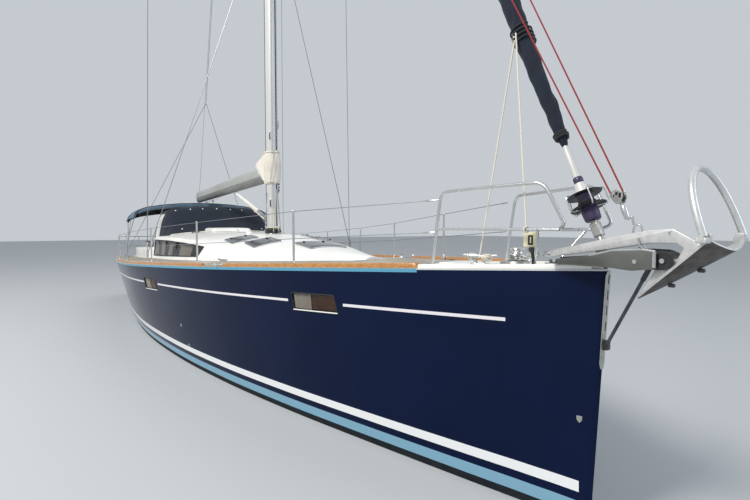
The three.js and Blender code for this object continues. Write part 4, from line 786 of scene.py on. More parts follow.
teak = cast("teak_deck")
cuts = [(at(x, 0, 0), (1, 0, 0)) for x in range(-6400, 5850, 300)] + [((0, 0, 0), PORT)]
for place, way in cuts:
    whole = teak.verts[:] + teak.edges[:] + teak.faces[:]
    bmesh.ops.bisect_plane(teak, geom=whole, plane_co=place, plane_no=way)
piece("teak_deck_shown", planked(teak, beam_at), weathered_teak, replaces=["teak_deck"], smooth=20)
for hand in ("port", "starboard"):
    lid = planked(rounded(cast(f"seat_lid_{hand}"), 3), lambda x: SEAT_EDGE)
    piece(f"seat_lid_{hand}_shown", lid, weathered_teak, body=f"seat_lid_{hand}",
          replaces=[f"seat_lid_{hand}"])
piece("anchor_locker_lid_shown", rounded(cast("anchor_locker_lid"), 4), white_gelcoat,
      body="anchor_locker_lid", replaces=["anchor_locker_lid"])


# Deckhouse: a white polyester moulding with a rounded shoulder, standing on the deck; the coamings, the
# garage of the sliding hatch and its rails are part of it.

# Columns, millimetres: x, half width at deck, half width at the roof edge, roof edge height, crown height.
HOUSE = [
    (-3200, 1500, 1400, 1850, 1965), (-2200, 1510, 1400, 1870, 1980), (-1000, 1480, 1350, 1872, 1985),
    (300, 1370, 1220, 1848, 1972), (1300, 1225, 1060, 1803, 1952), (2200, 1040, 850, 1768, 1892),
    (3000, 810, 610, 1738, 1826), (3700, 560, 380, 1712, 1776), (4520, 240, 120, 1690, 1728),
]
WALL, SHOULDER, FOOT_SINK = 36, 45, 15
SIDE_WINDOW = [(820, 1578), (930, 1746), (-100, 1782), (-1300, 1798), (-3060, 1780), (-3060, 1418)]
HATCHES = {
    "hatch_forward": (3030, 0, 620, 560), "hatch_middle_starboard": (2130, -560, 500, 440),
    "hatch_middle_port": (2130, 560, 500, 440), "hatch_after_starboard": (1420, -690, 500, 440),
    "hatch_after_port": (1420, 690, 500, 440),
}


def house_ring(x, wall=0.0, steps=14):
    """One section of the deckhouse, from its foot up to the shoulder and over the roof."""
    base, edge, rim, crown = fair(HOUSE, x)[1:]
    half = [(base - wall, 400), (base - wall, deck_at(x, base) - FOOT_SINK)]
    start, end = (edge + SHOULDER - wall, rim - SHOULDER - wall / 2), (edge - wall * 0.6, rim - wall)
    knee = (edge + SHOULDER * 0.72 - wall, rim - wall - 5)
    for i in range(7):
        t = i / 6
        half.append(tuple(a * (1 - t) ** 2 + b * 2 * t * (1 - t) + c * t * t
                          for a, b, c in zip(start, knee, end)))
    for i in range(1, steps + 1):
        y = edge * (1 - i / steps)
        half.append((y, rim + (crown - rim) * (1 - (y / edge) ** 2) - wall))
    return [at(x, y, z) for y, z in half] + [at(x, -y, z) for y, z in half[-2::-1]]


def roof_at(x, y):
    base, edge, rim, crown = fair(HOUSE, x)[1:]
    return rim + (crown - rim) * (1 - (y / edge) ** 2)


def house_side(x, z):
    """How far out the deckhouse side is at a height, in millimetres."""
    base, edge, rim, _ = fair(HOUSE, x)[1:]
    foot = deck_at(x, base) - FOOT_SINK
    return base + (edge + SHOULDER - base) * (z - foot) / (rim - SHOULDER - foot)


def house_form(rise=0.0):
    return loft([[p + at(0, 0, rise) for p in house_ring(x)] for x in along(-3200, 4520, 130)])


def house_room():
    return loft([house_ring(x, WALL) for x in along(-3164, 2600, 180)])


def plan_prism(outline, low, high):
    """An outline in plan, in millimetres, drawn up between two heights."""
    return prism([at(x, y, low) for x, y in outline], at(0, 0, high - low))


def oblong(x, y, length, width, trim=0.0, corner=0.0):
    """A plan outline about a middle, with its corners rounded where that is asked for."""
    a, b = length / 2 - trim, width / 2 - trim
    outline = [(x - a, y - b), (x + a, y - b), (x + a, y + b), (x - a, y + b)]
    return softened(outline, corner) if corner else outline


openings = [side_prism(SIDE_WINDOW, side * 700, side * 1700) for side in (1, -1)]
openings += [plan_prism(oblong(*size, 45, 30), 700, 2500) for size in HATCHES.values()]
openings += [box((-3250, -3100), (-330, 330), (1385, 2500)), box((-3250, -2560), (-330, 330), (1800, 2500))]
house = carved(house_form(), house_room(), *openings)

coaming_plan = [(-6650, 1300), (-3170, 1300), (-3170, 1470), (-3590, 1600), (-6150, 1600), (-6650, 1540)]
coaming_side = [(-6660, 900), (-3150, 900), (-3150, 1600), (-6660, 1480)]
for side in (1, -1):
    seat_back = carved(plan_prism([(x, side * y) for x, y in softened(coaming_plan, 60)], 1000, 1600),
                       side_prism(coaming_side, side * 1250, side * 1650), operation="INTERSECT")
    house = carved(house, rounded(seat_back, 16, 3, 40), operation="UNION")
for x, y, z in ((-4650, 1450, 1554), (-4650, -1450, 1554), (-2800, 780, 1946), (-2800, -780, 1946)):
    house = carved(house, turned([(0, -50), (92, -50), (92, -6), (86, 0), (0, 0)], at(x, y, z), UP),
                   operation="UNION")
house = carved(house, hull_form(DECK_LIFT))
hood = [(-500, 1900), (-492, 1950), (-462, 1996), (-440, 2034), (-412, 2054), (-370, 2062), (-200, 2068),
        (0, 2070)]
hood = hood + [(-y, z) for y, z in hood[-2::-1]]
HOOD_FOOT, RUNNER_Y = hood[0][1], 362
# Columns: x, and the hood's share of its full width and height there.
HOOD_ROWS = [(-2500, 1, 1), (-1850, 1, 1), (-1765, 0.99, 0.985), (-1700, 0.96, 0.93), (-1640, 0.9, 0.78),
             (-1560, 0.8, 0.5)]
garage = loft([[at(x, y * k, HOOD_FOOT + (z - HOOD_FOOT) * h) for y, z in hood] for x, k, h in HOOD_ROWS])
garage = carved(garage, box((-2600, -1765), (-412, 412), (1800, 2043)), house_form())
tracks = [box((-3195, -1733), (y - 14, y + 14), (1945, 2011.7), 2) for y in (-RUNNER_Y, RUNNER_Y)]
tracks = [carved(track, house_form(-4)) for track in tracks]
piece("deckhouse_moulding", [house, garage, *tracks], white_gelcoat, replaces=["deckhouse"], smooth=32)


# Saloon windows: one long dark acrylic pane each side bonded over three mullions, in a black seal,
# with pale curtains gathered behind them.
MULLIONS = (-2380, -1480, -560)

saloon_acrylic = alpha_glass("saloon_tinted_acrylic", "2A2C2F", 0.36)

for side, hand in SIDES:
    shell = carved(house_form(), house_room())
    pane = carved(shell, side_prism(inset(SIDE_WINDOW, 1), side * 700, side * 1700), operation="INTERSECT")
    inner = loft([[p - at(0, side * 8, 0) for p in house_ring(x)] for x in along(-3200, 4520, 260)])
    piece(f"saloon_glass_{hand}", carved(pane, inner), saloon_acrylic, replaces=[f"saloon_window_{hand}"])
    ring = [at(x, side * (house_side(x, z) + 1), z) for x, z in walk(SIDE_WINDOW)]
    bars = [box((x - 22, x + 22), sorted((side * 1330, side * (house_side(x, 1600) - 12))), (1440, 1790), 4)
            for x in MULLIONS]
    piece(f"saloon_seal_{hand}", [rod(ring, 11, 8, closed=True), *bars], black_rubber)
    for k, (back, front) in enumerate(((-3000, -2700), (-2330, -1960), (-1440, -1080), (-500, 260))):
        columns = [back + (front - back) * i / 60 for i in range(61)]
        rows = [[at(x, side * (house_side(x, z) - 72 + 14 * sin((x - back) / 13)), z) for x in columns]
                for z in (1470 + i * 40 for i in range(8))]
        curtain = piece(f"saloon_curtain_{k}_{hand}", loft(rows, closed=False), curtain_cotton)


# Roof hatches: smoked acrylic in a thin aluminium rim, flush on the roof, each hinged at its fore edge
# and with two black handles.

# Smoked acrylic: cast, dark grey and nearly opaque, a little scuffed in patches.
smoked_acrylic = patchy("smoked_cast_acrylic", {"IOR": 1.49, "Coat Weight": 0.2},
                        (400, "2E3138", "3D414A"), (80, 0.02), (0.05, 0.2))

# Black glass-filled nylon: moulded, with a fine satin texture.
black_nylon = patchy("black_moulded_nylon", {"IOR": 1.53}, (60, "1B1C1F", "26272B"),
                     (3, 0.05), (0.35, 0.55))

# Anodised aluminium: pale satin metal, drawn.
anodised = patchy("silver_anodised_aluminium", {"Metallic": 0.9, "Roughness": 0.38},
                  (150, "C4C6C7", "B0B2B3"), (12, 0.03, 3.0, (0.1, 1, 1)))

for name, (x, y, length, width) in HATCHES.items():
    lid = carved(plan_prism(oblong(x, y, length, width, 0, 45), 1500, 2300), house_form(22.8),
                 operation="INTERSECT")
    lid = rounded(carved(lid, house_form(0.8)), 3, 2, 60)
    rim = carved(plan_prism(oblong(x, y, length, width, -1, 46), 1500, 2300), house_form(19),
                 operation="INTERSECT")
    rim = carved(rim, house_form(2), plan_prism(oblong(x, y, length, width, 14, 34), 1400, 2400))
    piece(f"{name}_shown", lid, smoked_acrylic, body=name, replaces=[name])
    piece(f"{name}_rim", rim, anodised, body=name)
    handles = []
    for across in (-0.28, 0.28):
        hx, hy = x - length / 2 + 70, y + across * width
        top = roof_at(hx, hy) + 22
        handles.append(turned([(0, -2), (20, -2), (20, 5), (15, 9), (0, 9)], at(hx, hy, top), UP, 24))
        handles.append(box((hx - 8, hx + 44), (hy - 8, hy + 8), (top + 4, top + 14), 4))
    hinges = [box((x + length / 2 - 18, x + length / 2 - 2), (y + s * width - 24, y + s * width + 24),
                  (roof_at(x + length / 2, y + s * width) + 12, roof_at(x + length / 2, y + s * width) + 27),
                  4) for s in (-0.3, 0.3)]
    piece(f"{name}_handles", [*handles, *hinges], black_nylon, body=name)


# Companionway: a smoked acrylic hatch that slides forward into its garage, over a door of varnished
# teak boards with a turned stainless latch.
slab = rounded(cast("companion_hatch"), 5, 3)
grip = box((-3215, -3190), (-120, 120), (2040, 2060), 7, 3)
piece("companion_hatch_shown", slab, smoked_acrylic, body="companion_hatch", replaces=["companion_hatch"])
piece("companion_hatch_grip", grip, black_nylon, body="companion_hatch")
boards = [box((-3222.3, -3200.3), (-350, 350), (1392 + 152 * i, 1392 + 152 * (i + 1) - 3), 4)
          for i in range(4)]
latch = turned([(0, 0), (26, 0), (26, 6), (12, 10), (12, 24), (0, 26)], at(-3222, -300, 1720),
               (-1, 0, 0), 24)
piece("companion_door_shown", boards, varnished_teak, body="companion_door", replaces=["companion_door"])
piece("companion_door_latch", latch, stainless, body="companion_door")


# Mast: a painted aluminium box section that the mainsail furls into, stepped on the roof;
# a slot runs up its after face, and halyards leave it by plates near the foot.
MAST = {"x": 1010, "long": 130, "wide": 85, "foot": 1950, "head": 18900, "power": 3.6}
HOUNDS_Z, CRANE_BACK, CRANE_FRONT, PIN_X, GOOSENECK_Z, VANG_FOOT_Z = 16200, 720, 1230, 800, 3068, 2225

# Painted spar aluminium: an even pale grey satin skin, chalky here and there.
spar_paint = patchy("painted_spar_aluminium",
                    {"Metallic": 0.1, "Roughness": 0.36, "Coat Weight": 0.15},
                    (700, "D2D2CE", "BEBFBD", (0.35, 0.7), (1, 1, 0.15)), (30, 0.05))


def around(count):
    """The angles of evenly spaced points round a ring."""
    return [2 * pi * i / count for i in range(count)]


def oval(long, wide, power=2.0, count=48):
    """Points round a rounded box or ellipse, as pairs; the power squares it up."""
    points = []
    for angle in around(count):
        c, s = cos(angle), sin(angle)
        swell = 1 / (abs(c) ** power + abs(s) ** power) ** (1 / power)
        points.append((long * c * swell, wide * s * swell))
    return points


def mast_ring(z, grow=0.0):
    return [at(MAST["x"] + x, y, z) for x, y in oval(MAST["long"] + grow, MAST["wide"] + grow,
                                                     MAST["power"])]


# Charcoal metal, satin, streaked lighter up and down: painted shade on the mast's edges and on the stainless
# bobstay bar, and also the finish of the roller's inner plate and the fluke's lugs.
charcoal_and_painted_shade = patchy("charcoal_metal_and_painted_shade", {"Metallic": 0.6, "Roughness": 0.42},
                       (60, "3A3D40", "55585B", (0.35, 0.7), (1, 1, 0.1)), (10, 0.04, 3.0, (1, 1, 0.1)))

tube = loft([mast_ring(z) for z in (MAST["foot"] - 12, 3000, 9000, 15000, MAST["head"])])
tube = carved(tube, box((850, 905), (-9, 9), (3400, 17900)))
step = rounded(loft([mast_ring(MAST["foot"] - 12, 30), mast_ring(MAST["foot"] + 18, 26)]), 5)
truck = box((CRANE_BACK, CRANE_FRONT), (-28, 28), (MAST["head"] - 60, MAST["head"] + 20), 10)
lugs = []
for z in (GOOSENECK_Z, VANG_FOOT_Z):
    lugs += [box((PIN_X - 10, 900), (-26, 26), (z - 26, z + 26), 5),
             pin(12, -60, 60, at(PIN_X, 0, z), UP, 24)]
    lugs.append(box((868, 886), (-60, 60), (z - 95, z + 95), 5))
STAY_FOOT, STAY_HEAD = at(7450, 0, 1970), at(1150, 0, 16200)
stay_way = (STAY_HEAD - STAY_FOOT).normalized()
stay_length = (STAY_HEAD - STAY_FOOT).length * 1000
tang = pin(16, stay_length - 60, stay_length + 60, STAY_FOOT, stay_way, 20)
piece("mast_tube", [tube, truck, tang], spar_paint, replaces=["mast"], smooth=40)
# Dark strips up the mast's after corners and its front face: painted shade along the mast's edges.
tracks = [rod([at(MAST["x"] - 106, y, MAST["foot"] + 20), at(MAST["x"] - 106, y, 18800)], 13, 8)
          for y in (-70, 70)]
tracks.append(rod([at(MAST["x"] + 122, 34, MAST["foot"] + 20), at(MAST["x"] + 122, 34, 18800)], 13, 8))
piece("mast_shade_strips", tracks, charcoal_and_painted_shade)
piece("mast_fittings", [step, *lugs], dull_stainless)


def turned_block(bm, degrees, axis, middle):
    bmesh.ops.rotate(bm, verts=bm.verts, cent=middle, matrix=Matrix.Rotation(radians(degrees), 3, axis))
    return bm


plates, slots = [], []
for y, z, lean in ((-74, 2510, -38), (74, 2760, 38), (-74, 3700, -38), (74, 3900, 38)):
    middle = at(MAST["x"] + 110, y, z)
    plates.append(turned_block(box((1109, 1126), (y - 17, y + 17), (z - 78, z + 78), 8, 3), lean, "Z",
                               middle))
    slots.append(turned_block(box((1122, 1129), (y - 8, y + 8), (z - 60, z + 60), 3), lean, "Z", middle))
for z in (2850, 2795, 2740):
    slots.append(box((1085, 1120), (78, 100), (z - 16, z + 16), 5))
piece("mast_exit_plates", plates, stainless)
piece("mast_exit_slots", slots, black_nylon)
lamp_body = turned([(0, 0), (24, 0), (26, 30), (18, 46), (0, 46)], at(1080, 0, 18918 - 44), UP, 24)
piece("masthead_light", lamp_body, black_nylon)
steaming = merged(box((1138, 1180), (-34, 34), (9880, 9950), 14, 3),
                  turned([(0, 0), (26, 0), (26, 44), (18, 56), (0, 56)], at(1162, 0, 9822), UP, 24))
piece("steaming_light", steaming, black_nylon)


# Spreaders: two swept pairs of aluminium wings, each pair pinned to a collar riveted round the mast.
# Columns: node, height, tip x, tip y, root chord, tip chord.
SPREADERS = [("spreaders_lower", 7790, 330, 1870, 170, 90), ("spreaders_upper", 12900, 500, 1330, 150, 80)]
for name, z, tip_x, tip_y, root, tip in SPREADERS:
    arms = []
    for side in (1, -1):
        rings = []
        for t in (0, 0.5, 0.97, 1.0):
            y = 70 + (tip_y + 12 - 70) * t
            x, chord, thick = MAST["x"] + (tip_x - MAST["x"]) * t, root + (tip - root) * t, 18 - 6 * t
            chord, thick = (chord * 0.7, thick * 0.6) if t == 1.0 else (chord, thick)
            rings.append([at(x + a, side * y, z + b) for a, b in oval(chord / 2, thick, 2.2, 32)])
        arms.append(loft(rings))
    collar = loft([mast_ring(z - 50, 9), mast_ring(z + 50, 9)])
    piece(f"{name}_wings", [rounded(collar, 6), *arms], spar_paint, replaces=[name], smooth=40)
    boots = [turned([(0, -26), (20, -24), (27, 0), (20, 24), (0, 26)], at(tip_x, side * tip_y, z), UP, 20)
             for side in (1, -1)]
    piece(f"{name}_boots", boots, black_nylon)


# Standing rigging: stainless wire from the chainplates over the spreader tips to the mast,
# tensioned by bottlescrews, and a backstay that divides above the cockpit.
CHAIN = (250, 1990, 1440)
rig_wire = new_finish("stainless_strand_wire",
                      {"Base Color": srgb("8E9296"), "Metallic": 0.9, "Roughness": 0.4})
lay = node(rig_wire, "TexWave", {"Vector": node(rig_wire, "TexCoord", out="Object"), "Scale": 20.0},
           bands_direction="DIAGONAL")
coat(rig_wire, {"Normal": node(rig_wire, "Bump", {"Height": lay, "Distance": 0.0005})})
for side, hand in SIDES:
    low_tip, high_tip = at(330, side * 1870, 7790), at(500, side * 1330, 12900)
    foot, inner = at(CHAIN[0], side * CHAIN[1], 1630), at(CHAIN[0] + 60, side * CHAIN[1], 1630)
    runs = [(foot, low_tip, 6), (low_tip, high_tip, 5), (high_tip, at(1010, side * 88, HOUNDS_Z), 5),
            (low_tip, at(1010, side * 88, 12780), 5), (inner, at(1010, side * 88, 7680), 6)]
    wires = merged(*[rod([a, b], r, 8) for a, b, r in runs])
    screws = []
    for x in (CHAIN[0], CHAIN[0] + 60):
        base = at(x, side * CHAIN[1], CHAIN[2] + 48)
        screws.append(turned([(0, 0), (9, 0), (9, 40), (15, 46), (15, 190), (9, 196), (9, 262), (12, 266),
                              (12, 330), (6, 336), (0, 336)], base, UP, 20))
        screws.append(box((x - 14, x + 14), (side * CHAIN[1] - 12, side * CHAIN[1] + 12), (1462, 1500), 4))
        screws.append(pin(7, -20, 20, at(x, side * CHAIN[1], 1483), PORT, 16))
    base = box((205, 365), (side * CHAIN[1] - 26, side * CHAIN[1] + 26),
               (deck_at(280, 1990) - 2, deck_at(280, 1990) + 7), 3)
    lug = box((214, 356), (side * CHAIN[1] - 5, side * CHAIN[1] + 5), (1415, 1500), 4)
    piece(f"shroud_wires_{hand}", wires, rig_wire, replaces=[f"shrouds_{hand}"])
    piece(f"bottlescrews_{hand}", [*screws, base, lug], stainless)
JOINT = at(-4160, 0, 5430)
legs = [rod([at(740, 0, 18835), JOINT], 6, 8)]
feet = [box((-4190, -4130), (-9, 9), (5385, 5475), 6)]
for side in (1, -1):
    eye = at(-6300, side * 1900, 1205)
    way = (JOINT - eye).normalized()
    legs.append(rod([eye + way * 0.30, JOINT], 6, 8))
    feet += [turned([(0, 20), (9, 20), (9, 60), (15, 66), (15, 210), (9, 216), (9, 290), (0, 330)],
                    eye, way, 20),
             turned([(0, 0), (30, 0), (30, 6), (14, 10), (12, 26), (0, 26)],
                    at(-6300, side * 1900, deck_at(-6300, 1900) - 1), UP, 24)]
piece("backstay_wires", legs, rig_wire, replaces=["backstay"])
piece("backstay_fittings", feet, stainless)


# Boom: a deep painted aluminium section with a groove along each side, pinned to the mast by its
# gooseneck, with cast end fittings, a mainsheet block under it, and a sprung vang with its tackle below.
BOOM = {"nose": 735, "end": -5220, "wide": 85, "deep": 160}
VANG_TOP_X = -1280


def boom_axis(x):
    return GOOSENECK_Z - (PIN_X - x) / 6020 * (GOOSENECK_Z - 2950)


def boom_ring(x, scale=1.0, grow=0.0, groove=16.0):
    ring = []
    for y, z in oval(BOOM["wide"] * scale + grow, BOOM["deep"] * scale + grow, 3.0, 96):
        inward = groove if -72 < z < -40 and abs(y) > 30 else 0
        ring.append(at(x, y - copysign(inward, y), boom_axis(x) + z))
    return ring


tube = loft([boom_ring(x, s) for x, s in ((BOOM["nose"], 1), (0, 1), (-2500, 0.98),
                                          (BOOM["end"] + 60, 0.96))])
# Faces low on the section take the second finish, the painted shade under the boom.
for face in tube.faces:
    middle = face.calc_center_median() * 1000
    face.material_index = int(middle.z < boom_axis(middle.x) - 52)
# The same paint on the boom's underside, drawn darker grey: painted shade under the boom.
underside_painted_shade = patchy("spar_underside_painted_shade", {"Roughness": 0.6},
                      (300, "7C7E7C", "636563", (0.35, 0.7), (0.3, 1, 1)), (30, 0.05))
# The boom's upper sides: the mast's paint, drawn a shade darker as painted shade on the boom's sides.
boom_side_painted_shade = patchy("boom_paint_painted_shade", {"Metallic": 0.1, "Roughness": 0.45},
                         (500, "AEB1AD", "979A97", (0.35, 0.7), (0.3, 1, 1)), (30, 0.06))
piece("boom_tube", tube, boom_side_painted_shade, underside_painted_shade, body="boom_and_vang", replaces=["boom"], smooth=30)
cap = rounded(loft([boom_ring(x, s, 2, 0) for x, s in ((BOOM["end"] + 64, 0.96), (BOOM["end"] + 6, 0.96),
                                                       (BOOM["end"] - 6, 0.9))]), 3)
yokes = []
for z in (GOOSENECK_Z + 26.3, GOOSENECK_Z - 48.3, VANG_FOOT_Z + 26.3, VANG_FOOT_Z - 48.3):
    yokes.append(turned([(13, 0), (32, 0), (32, 22), (13, 22), (13, 0)], at(PIN_X, 0, z), UP, 32))
    yokes.append(box((PIN_X - 90, PIN_X - 20), (-24, 24), (z, z + 22), 4))
end_eye = turned([(6, -8), (22, -8), (22, 8), (6, 8), (6, -8)],
                 at(BOOM["end"] - 8, 0, boom_axis(BOOM["end"]) - 110), PORT, 24)
piece("boom_end_castings", [cap, *yokes, end_eye], anodised, body="boom_and_vang")


def pulley(place, way, radius=30, cheek=9):
    """A rope block: a black sheave between two bright cheeks, hung in a line's direction."""
    way = Vector(way).normalized()
    side_way = Vector((0, 1, 0)) if abs(way.y) < 0.9 else Vector((1, 0, 0))
    side_way = (side_way - way * side_way.dot(way)).normalized()
    wheel = turned([(0, -cheek), (radius * 0.8, -cheek), (radius * 0.62, 0), (radius * 0.8, cheek),
                    (0, cheek)], place, side_way, 24)
    cheeks = []
    for s in (-1, 1):
        flat = turned([(0, 0), (radius, 0), (radius, 3), (radius * 0.3, 5), (0, 5)],
                      Vector(place) + side_way * s * (cheek + 1) / 1000, side_way * s, 24)
        cheeks.append(flat)
    strap = rod([Vector(place), Vector(place) + way * (radius + 34) / 1000], 6, 8)
    return wheel, merged(*cheeks, strap)


# Braided polyester line: soft-looking, with a fine herringbone of strands; drawn at 4 mm so that it shows.
def braid(name, light, dark):
    rope = new_finish(name, {"Roughness": 0.85, "Sheen Weight": 0.15})
    place = node(rope, "TexCoord", out="Object")
    strands = node(rope, "TexVoronoi", {"Vector": place, "Scale": 250.0})
    coat(rope, {
        "Base Color": node(rope, "Mix", {0: strands, 6: srgb(light), 7: srgb(dark)}, out=2,
                           data_type="RGBA"),
        "Normal": node(rope, "Bump", {"Height": strands, "Distance": 0.001, "Strength": 0.7}),
    })
    return rope


white_braid = braid("white_braided_polyester", "E9E4D6", "C9C1AE")
red_braid = braid("red_braided_polyester", "A3262A", "6E1418")
black_braid = braid("black_braided_polyester", "2A2B2E", "121315")
blue_braid = braid("blue_flecked_polyester", "C8CED6", "3C5A86")

vang_top = at(VANG_TOP_X, 0, boom_axis(VANG_TOP_X) - 160 - 45)
vang_foot = at(PIN_X - 80, 0, VANG_FOOT_Z + 22)
joint = vang_foot.lerp(vang_top, 0.27)
run = (vang_top - vang_foot).length * 1000
sleeve = turned([(0, 0), (30, 0), (31, 6), (31, 60), (29, 66), (29, run * 0.72), (0, run * 0.72)], joint,
                vang_top - joint, 32)
piece("vang_sleeve", sleeve, white_gelcoat, body="boom_and_vang", slot="spar_aluminium", replaces=["vang"])
inner = pin(20, -30, run * 0.28, vang_foot, vang_top - vang_foot, 24)
bracket = [box((VANG_TOP_X - 30, VANG_TOP_X + 30), (-16, 16),
               (vang_top.z * 1000 - 12, vang_top.z * 1000 + 62), 5),
           box((PIN_X - 112, PIN_X - 62), (-24, 24), (VANG_FOOT_Z - 48, VANG_FOOT_Z + 48), 5),
           pin(9, -26, 26, vang_top, PORT, 16)]
piece("vang_rod", [inner, *bracket], stainless, body="boom_and_vang")
sheaves, bright, lines = [], [], []
tackle_top, tackle_low = at(-1180, 0, 2790), at(560, 0, 2215)
for end, way in ((tackle_top, UP), (tackle_low, (1, 0, 0.1))):
    wheel, metal = pulley(end, way)
    sheaves.append(wheel)
    bright.append(metal)
for shift in (-12, 0, 12):
    lines.append(rod([tackle_top + at(0, shift, -22), tackle_low + at(0, shift, 16)], 4.5, 8))
for x in (-3560, -4300, BOOM["end"] + 240):
    hang = at(x, 0, boom_axis(x) - 160 - 66)
    wheel, metal = pulley(hang, UP, 34, 11)
    sheaves.append(wheel)
    bright.append(metal)
    lines.append(rod([hang + at(30, 0, -20), hang + at(360, 30, 60),
                      at(x + 700, 40, boom_axis(x + 700) - 172)], 5, 8, bend=120))
piece("boom_block_sheaves", sheaves, black_nylon, body="boom_and_vang")
piece("boom_block_cheeks", bright, stainless, body="boom_and_vang")
piece("boom_tackle_lines", lines, white_braid, body="boom_and_vang")


# Gooseneck cover: cream canvas laced round the mast and laid back over the front of the boom,
# gathered at the top by a cord; it hides the joint, and stands free, riding on no body.
COVER = {"low": 2868, "high": 3440, "back": 330, "side": 100, "rows": 22, "count": 96}


def cover_ring(z, waist):
    """One level of the cover: round the mast, and drawn back along the boom where the boom is."""
    lift = (z - COVER["low"]) / (COVER["high"] - COVER["low"])
    top = boom_axis(500) + 225
    if z > top:
        back = COVER["back"] + 540 * min(1, (z - top) / 140) ** 0.7
    else:
        back = COVER["back"] + 540 * max(0.0, min(1.0, (3230 - z) / 340)) ** 1.2
    ring = []
    for angle in around(COVER["count"]):
        c, s = cos(angle), sin(angle)
        long, wide = MAST["long"] + waist, MAST["wide"] + waist
        power = MAST["power"]
        reach = 1 / ((abs(c) / long) ** power + (abs(s) / wide) ** power) ** (1 / power)
        if c < 0:
            reach = max(reach, min(COVER["side"] / max(abs(s), 1e-4), (MAST["x"] - back) / abs(c)))
        fold = 4.0 * sin(angle * 9 + lift * 5) + 3.0 * sin(angle * 17 - lift * 9)
        reach += fold * (0.5 + 0.9 * abs(2 * lift - 1))
        ring.append(at(MAST["x"] + reach * c, reach * s, z + 10 * sin(angle * 3) * (lift - 0.5)))
    return ring


rings = []
for i in range(COVER["rows"] + 1):
    t = i / COVER["rows"]
    z = COVER["low"] + (COVER["high"] - COVER["low"]) * t
    waist = 20 + 26 * sin(pi * min(1, t * 1.1)) ** 0.7 - (14 if t > 0.96 else 0)
    rings.append(cover_ring(z, waist))


# Woven acrylic canvas; the weave is drawn at 3 mm, several times as coarse as real, so that it shows.
WEAVE = 3.0


def canvas(name, light, dark):
    cloth = new_finish(name, {"Roughness": 0.9, "Sheen Weight": 0.05, "Sheen Roughness": 0.5})
    coat(cloth, {"Base Color": blotches(cloth, 260, light, dark)})
    place = node(cloth, "TexCoord", out="Object")
    warp = node(cloth, "TexWave", {"Vector": place, "Scale": 1000 / WEAVE / 6.28, "Distortion": 0.4},
                bands_direction="X")
    weft = node(cloth, "TexWave", {"Vector": place, "Scale": 1000 / WEAVE / 6.28, "Distortion": 0.4},
                bands_direction="Z")
    weave = node(cloth, "Math", {0: warp, 1: weft}, operation="ADD")
    coat(cloth, {"Normal": node(cloth, "Bump", {"Height": weave, "Distance": 0.0003, "Strength": 0.5})})
    return cloth


# Cream acrylic canvas: sun-bleached, with pale dust in its folds.
cream_canvas = canvas("cream_acrylic_canvas", "E2DDD4", "CCC6BB")


cover = piece("gooseneck_cover_cloth", loft(rings, capped=False), cream_canvas, replaces=["gooseneck_cover"],
              smooth=60)
cover.parent = None
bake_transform(cover)
neck = [p + (p - at(MAST["x"], 0, p.z * 1000)).normalized() * 0.006 for p in rings[-2]]
piece("cover_top_lashing", rod(neck, 7, 8, closed=True), white_braid)
foot_ring = [at(MAST["x"] + x, y, 2860) for x, y in oval(MAST["long"] + 14, MAST["wide"] + 14, 3.0)]
piece("cover_foot_lashing", rod(foot_ring, 6, 8, closed=True), white_braid)


# Running rigging at the mast: halyards down its after and front faces, turned round deck blocks at its
# foot and led aft over the roof to the rope clutches; a topping lift holds the boom end up.
falls, foot_wheels, foot_cheeks = [], [], []
for k, (y, z, finish_y) in enumerate(((-30, 2560, -150), (30, 2760, 150), (-96, 2700, -215),
                                      (96, 2850, 215))):
    x = 1152 if abs(y) < 60 else 1010
    turn = at(x + (18 if abs(y) < 60 else 0), y * 1.5, roof_at(1100, 0) + 48)
    wheel, metal = pulley(turn, (0, 0, -1), 26, 9)
    foot_wheels.append(wheel)
    foot_cheeks.append(metal)
    falls.append(rod([at(x - 12, y, z), turn + at(14, 0, 6)], 5, 8))
    aft_run = [turn + at(-18, 0, -16), at(560, finish_y * 1.3, roof_at(560, finish_y * 1.3) + 16)]
    aft_run += [at(x, finish_y * 1.3 + copysign(1, y) * (560 - x) * 0.09, roof_at(x, finish_y * 1.3) + 14)
                for x in (0, -800, -1500, -2100)]
    falls.append(rod(aft_run, 5, 8, bend=200))
piece("mast_foot_lines", falls[:4], white_braid)
piece("mast_foot_lines_blue", falls[4:], blue_braid)
piece("mast_foot_block_sheaves", foot_wheels, black_nylon)
piece("mast_foot_block_cheeks", foot_cheeks, stainless)
coils = []
for k in range(9):
    z, out = 1978 + 13 * k, 22 + 12 * sin(k * 1.7)
    ring = enumerate(oval(MAST["long"] + out, MAST["wide"] + out, 2.6, 40))
    ring = [at(MAST["x"] + x, y, z + 8 * sin(i / 4 + k)) for i, (x, y) in ring]
    coils.append(rod(ring, 8, 8, closed=True))
piece("mast_rope_turns", coils[:6], black_braid)
piece("mast_rope_turns_white", coils[6:], white_braid)
hoist = [rod([at(1100, 168, 1985), at(1000, 215, 7770)], 4, 6),
         rod([at(1158, -42, 2420), at(1158, -42, 18820)], 4.5, 6),
         rod([at(1158, 42, 2420), at(1158, 42, 16150)], 4.5, 6)]
piece("mast_halyards", hoist, blue_braid)
lift = rod([at(760, 0, 18840), at(BOOM["end"] + 40, 0, boom_axis(BOOM["end"]) + 166)], 4, 6)
topping = piece("topping_lift", lift, rig_wire)
topping.parent = None
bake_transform(topping)


# Headstay furler: a line drum between two flanges above a toggle, a ferrule over it, and the rolled genoa
# round its aluminium foil, all of which turn together.
def on_stay(far, out=0.0, turn=0.0):
    """A point a distance up the headstay, and out from it at an angle."""
    across = Vector((stay_way.z, 0, -stay_way.x))
    return STAY_FOOT + (stay_way * far + (across * cos(turn) + Vector((0, 1, 0)) * sin(turn)) * out) / 1000


# Plum-black moulded drum: a dark satin plastic that has faded towards purple.
plum_nylon = patchy("faded_plum_nylon", {"Roughness": 0.42, "IOR": 1.53},
                    (90, "43345A", "2A2138"), (4, 0.05))

